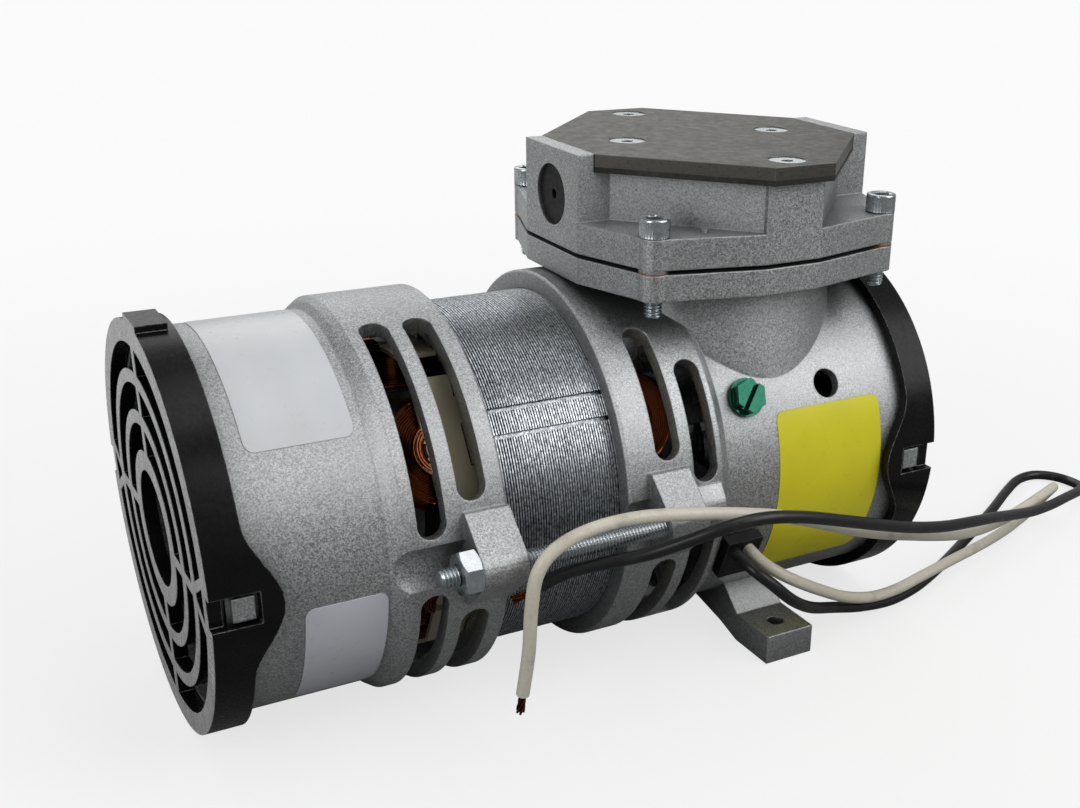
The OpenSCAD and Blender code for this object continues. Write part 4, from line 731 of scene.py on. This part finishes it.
def racetrack(straight, radius, steps=10):
    """Points of a closed loop with two straight sides, in the plane that faces a pole."""
    points = []
    for side in (1, -1):
        for i in range(steps + 1):
            a = math.pi * i / steps - math.pi / 2
            points.append((side * (straight + radius * math.cos(a)), side * radius * math.sin(a)))
    return points


def pole_place(index, height, x, y):
    """A point in the plane that faces a pole: x along the shaft, y round it."""
    a = math.radians(POLE_ANGLE + index * 360 / POLES)
    middle = (STACK_X0 + STACK_X1) / 2
    out = Vector((0, -math.cos(a), math.sin(a)))
    across = Vector((0, math.sin(a), math.cos(a)))
    return Vector((middle + x, 0, SHAFT_H)) + out * height + across * y


COIL_STRAIGHT = 22.4
COIL_IN_R = 5.95
COIL_OUT_R = 11.95
COIL_LOW, COIL_HIGH = 25.65, 33.05
CORE_HIGH = 34.2
# How far past the straight part the core's end comes out of its flange
CORE_END_START = 3.35


WIRE_R = 0.29
SIDE_TURNS, SIDE_PITCH = 12, 0.585
TOP_TURNS, TOP_PITCH = 10, 0.56
# Radius and drop below the core's top of each wire that crosses over the core's end
CROSSING_WIRES = ((6.1, 1.0), (5.95, 0.45), (5.4, 0), (4.82, 0), (4.24, 0), (3.66, 0))


def make_windings(material):
    """Each coil as one fine wire, wound up its side and in over its top, with wires over its core's ends."""
    draw = random.Random(11)
    shape = Shape()
    wire = WIRE_R
    for pole in range(POLES):
        side, top = COIL_OUT_R - wire, COIL_HIGH - wire
        rings = [[pole_place(pole, h, x, y) for x, y in racetrack(COIL_STRAIGHT, r)]
                 for h, r in ((COIL_LOW, COIL_IN_R), (COIL_LOW, side), (top, side), (top, COIL_IN_R),
                              (COIL_LOW, COIL_IN_R))]
        shape.rings(rings, closed_ends=False)
        points = []
        turns = [(COIL_LOW + wire + k * SIDE_PITCH, side) for k in range(SIDE_TURNS)]
        turns += [(top, side - 0.3 - k * TOP_PITCH) for k in range(TOP_TURNS)]
        for k, (height, radius) in enumerate(turns):
            after = turns[min(k + 1, len(turns) - 1)]
            rise, lean = draw.uniform(-0.06, 0.06), draw.uniform(-0.13, 0.02)
            loop = racetrack(COIL_STRAIGHT, 1.0, 8)
            for i, (x, y) in enumerate(loop):
                t = i / len(loop)
                r = radius + (after[1] - radius) * t + (lean if height < top else 0.25 * lean)
                straight = math.copysign(COIL_STRAIGHT, x)
                h = height + (after[0] - height) * t + (rise if height < top else 2.2 * rise)
                h = min(max(h, COIL_LOW + wire), COIL_HIGH - 0.5 * wire)
                points.append(pole_place(pole, h, straight + (x - straight) * r, y * r))
        shape.tube(points, wire, 6)
        for end in (-1, 1):
            for radius, drop in CROSSING_WIRES:
                height = CORE_HIGH + wire + draw.uniform(0, 0.1) - drop
                reach = math.acos(CORE_END_START / radius)
                arc = [reach * (i / 8 - 1) for i in range(17)]
                shape.tube([pole_place(pole, height, end * (COIL_STRAIGHT + radius * math.cos(a)),
                                       radius * math.sin(a)) for a in arc], wire, 6)
    piece = add_mesh("wound_field_coils", shape.verts, shape.faces, "housing", material)
    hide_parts("field_coils")


# ---------------------------------------------------------------- screws, rods and nuts


# A No. 8-32 thread: its radius, pitch and depth, and the radius that its plain CAD rod has
THREAD = (2.07, 0.794, 0.42)
CAD_ROD_R = 2.08
NUT_HALF_FLATS = 4.33
NUT_BORE_R = 2.1
SCREW_HEAD_R = 3.43
SOCKET_HALF_FLATS = 1.8


def make_tie_rods(materials):
    low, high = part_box("tie_rods")
    x0, x1 = low.x / MM, high.x / MM
    y = high.y / MM - CAD_ROD_R
    shape = Shape()
    for side in (-1, 1):
        place = Matrix.Translation((0, side * y, SHAFT_H)) @ Matrix.Rotation(math.pi / 2, 4, "Y")
        shape.rings(thread_rings(x0, x1, *THREAD), place)
    piece = add_mesh("threaded_tie_rods", shape.verts, shape.faces, "housing",
                     materials["zinc_steel"], math.radians(60))
    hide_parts("tie_rods")

    low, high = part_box("tie_rod_nuts")
    x0, x1 = low.x / MM, high.x / MM
    shape = Shape()
    for side in (-1, 1):
        place = Matrix.Translation((0, side * y, SHAFT_H)) @ Matrix.Rotation(math.pi / 2, 4, "Y")
        nut_rings(shape, x0, x1, NUT_HALF_FLATS, NUT_BORE_R, place)
    piece = add_mesh("hex_nuts", shape.verts, shape.faces, "housing", materials["zinc_steel"],
                     math.radians(20))
    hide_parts("tie_rod_nuts")


def nut_rings(shape, z0, z1, across, bore, place, sides=72):
    """A hexagon nut along Z with chamfered corners, open in the middle."""
    slope = math.tan(math.radians(30))

    def loop(radius_of, height_of):
        ring = []
        for i in range(sides):
            a = 2 * math.pi * i / sides
            flat = a % (math.pi / 3) - math.pi / 6
            r = radius_of(across / math.cos(flat))
            ring.append((r * math.cos(a), r * math.sin(a), height_of(r)))
        return ring

    face = across * 0.97
    rings = [
        loop(lambda r: bore, lambda r: z0 + 0.35),
        loop(lambda r: bore + 0.35, lambda r: z0),
        loop(lambda r: face, lambda r: z0),
        loop(lambda r: r, lambda r: z0 + (r - face) * slope),
        loop(lambda r: r, lambda r: z1 - (r - face) * slope),
        loop(lambda r: face, lambda r: z1),
        loop(lambda r: bore + 0.35, lambda r: z1),
        loop(lambda r: bore, lambda r: z1 - 0.35),
        loop(lambda r: bore, lambda r: z0 + 0.35),
    ]
    shape.rings(rings, place, closed_ends=False)


def socket_screw(shape, base, head_r, head_h, tail, place):
    """A knurled socket head cap screw with its head standing on z = base."""
    sides = 144
    ribs = 36

    def knurled(z, share, r0=head_r):
        ring = []
        for i in range(sides):
            a = 2 * math.pi * i / sides
            cut = 0.13 * share * (0.5 - 0.5 * math.cos(a * ribs))
            ring.append(((r0 - cut) * math.cos(a), (r0 - cut) * math.sin(a), z))
        return ring

    def plain(z, r):
        return [(r * math.cos(2 * math.pi * i / sides), r * math.sin(2 * math.pi * i / sides), z)
                for i in range(sides)]

    def hexagon(z, across):
        ring = []
        for i in range(sides):
            a = 2 * math.pi * i / sides
            r = across / math.cos((a + math.pi / 6) % (math.pi / 3) - math.pi / 6)
            ring.append((r * math.cos(a), r * math.sin(a), z))
        return ring

    top = base + head_h
    shape.rings([
        plain(base, 2.0), plain(base, head_r - 0.25), knurled(base + 0.2, 0), knurled(base + 0.45, 1),
        knurled(top - 0.75, 1), knurled(top - 0.5, 0), plain(top - 0.3, head_r - 0.02),
        plain(top - 0.08, head_r - 0.16), plain(top, head_r - 0.4), plain(top, 2.2),
        hexagon(top - 0.2, SOCKET_HALF_FLATS), hexagon(top - 2.0, SOCKET_HALF_FLATS), plain(top - 2.35, 0.9),
    ], place)
    shape.rings(thread_rings(base - tail, base + 0.2, *THREAD), place)


def make_head_screws(materials):
    low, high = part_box("head_screws")
    shape = Shape()
    for sx in (-1, 1):
        for sy in (-1, 1):
            turn = Matrix.Rotation(math.radians(17 + 40 * sx + 23 * sy), 4, "Z")
            place = Matrix.Translation((HEAD_X + sx * HEAD_PITCH, sy * HEAD_PITCH, 0)) @ turn
            head_h, tail = high.z / MM - HEAD_FLANGE_H, HEAD_FLANGE_H - low.z / MM
            socket_screw(shape, HEAD_FLANGE_H, SCREW_HEAD_R, head_h, tail, place)
    piece = add_mesh("socket_head_screws", shape.verts, shape.faces, "housing",
                     materials["zinc_steel"], math.radians(30))
    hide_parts("head_screws")


# ---------------------------------------------------------------- all together

make_camera()
make_stage()
MADE = make_materials()
make_lead("white_lead_insulation", WHITE_ROUTE, "white_insulation", MADE)
make_lead("black_lead_insulation", BLACK_ROUTE, "black_insulation", MADE)
make_laminations(MADE["lamination_steel"])
make_windings(MADE["winding_copper"])
make_tie_rods(MADE)
make_head_screws(MADE)
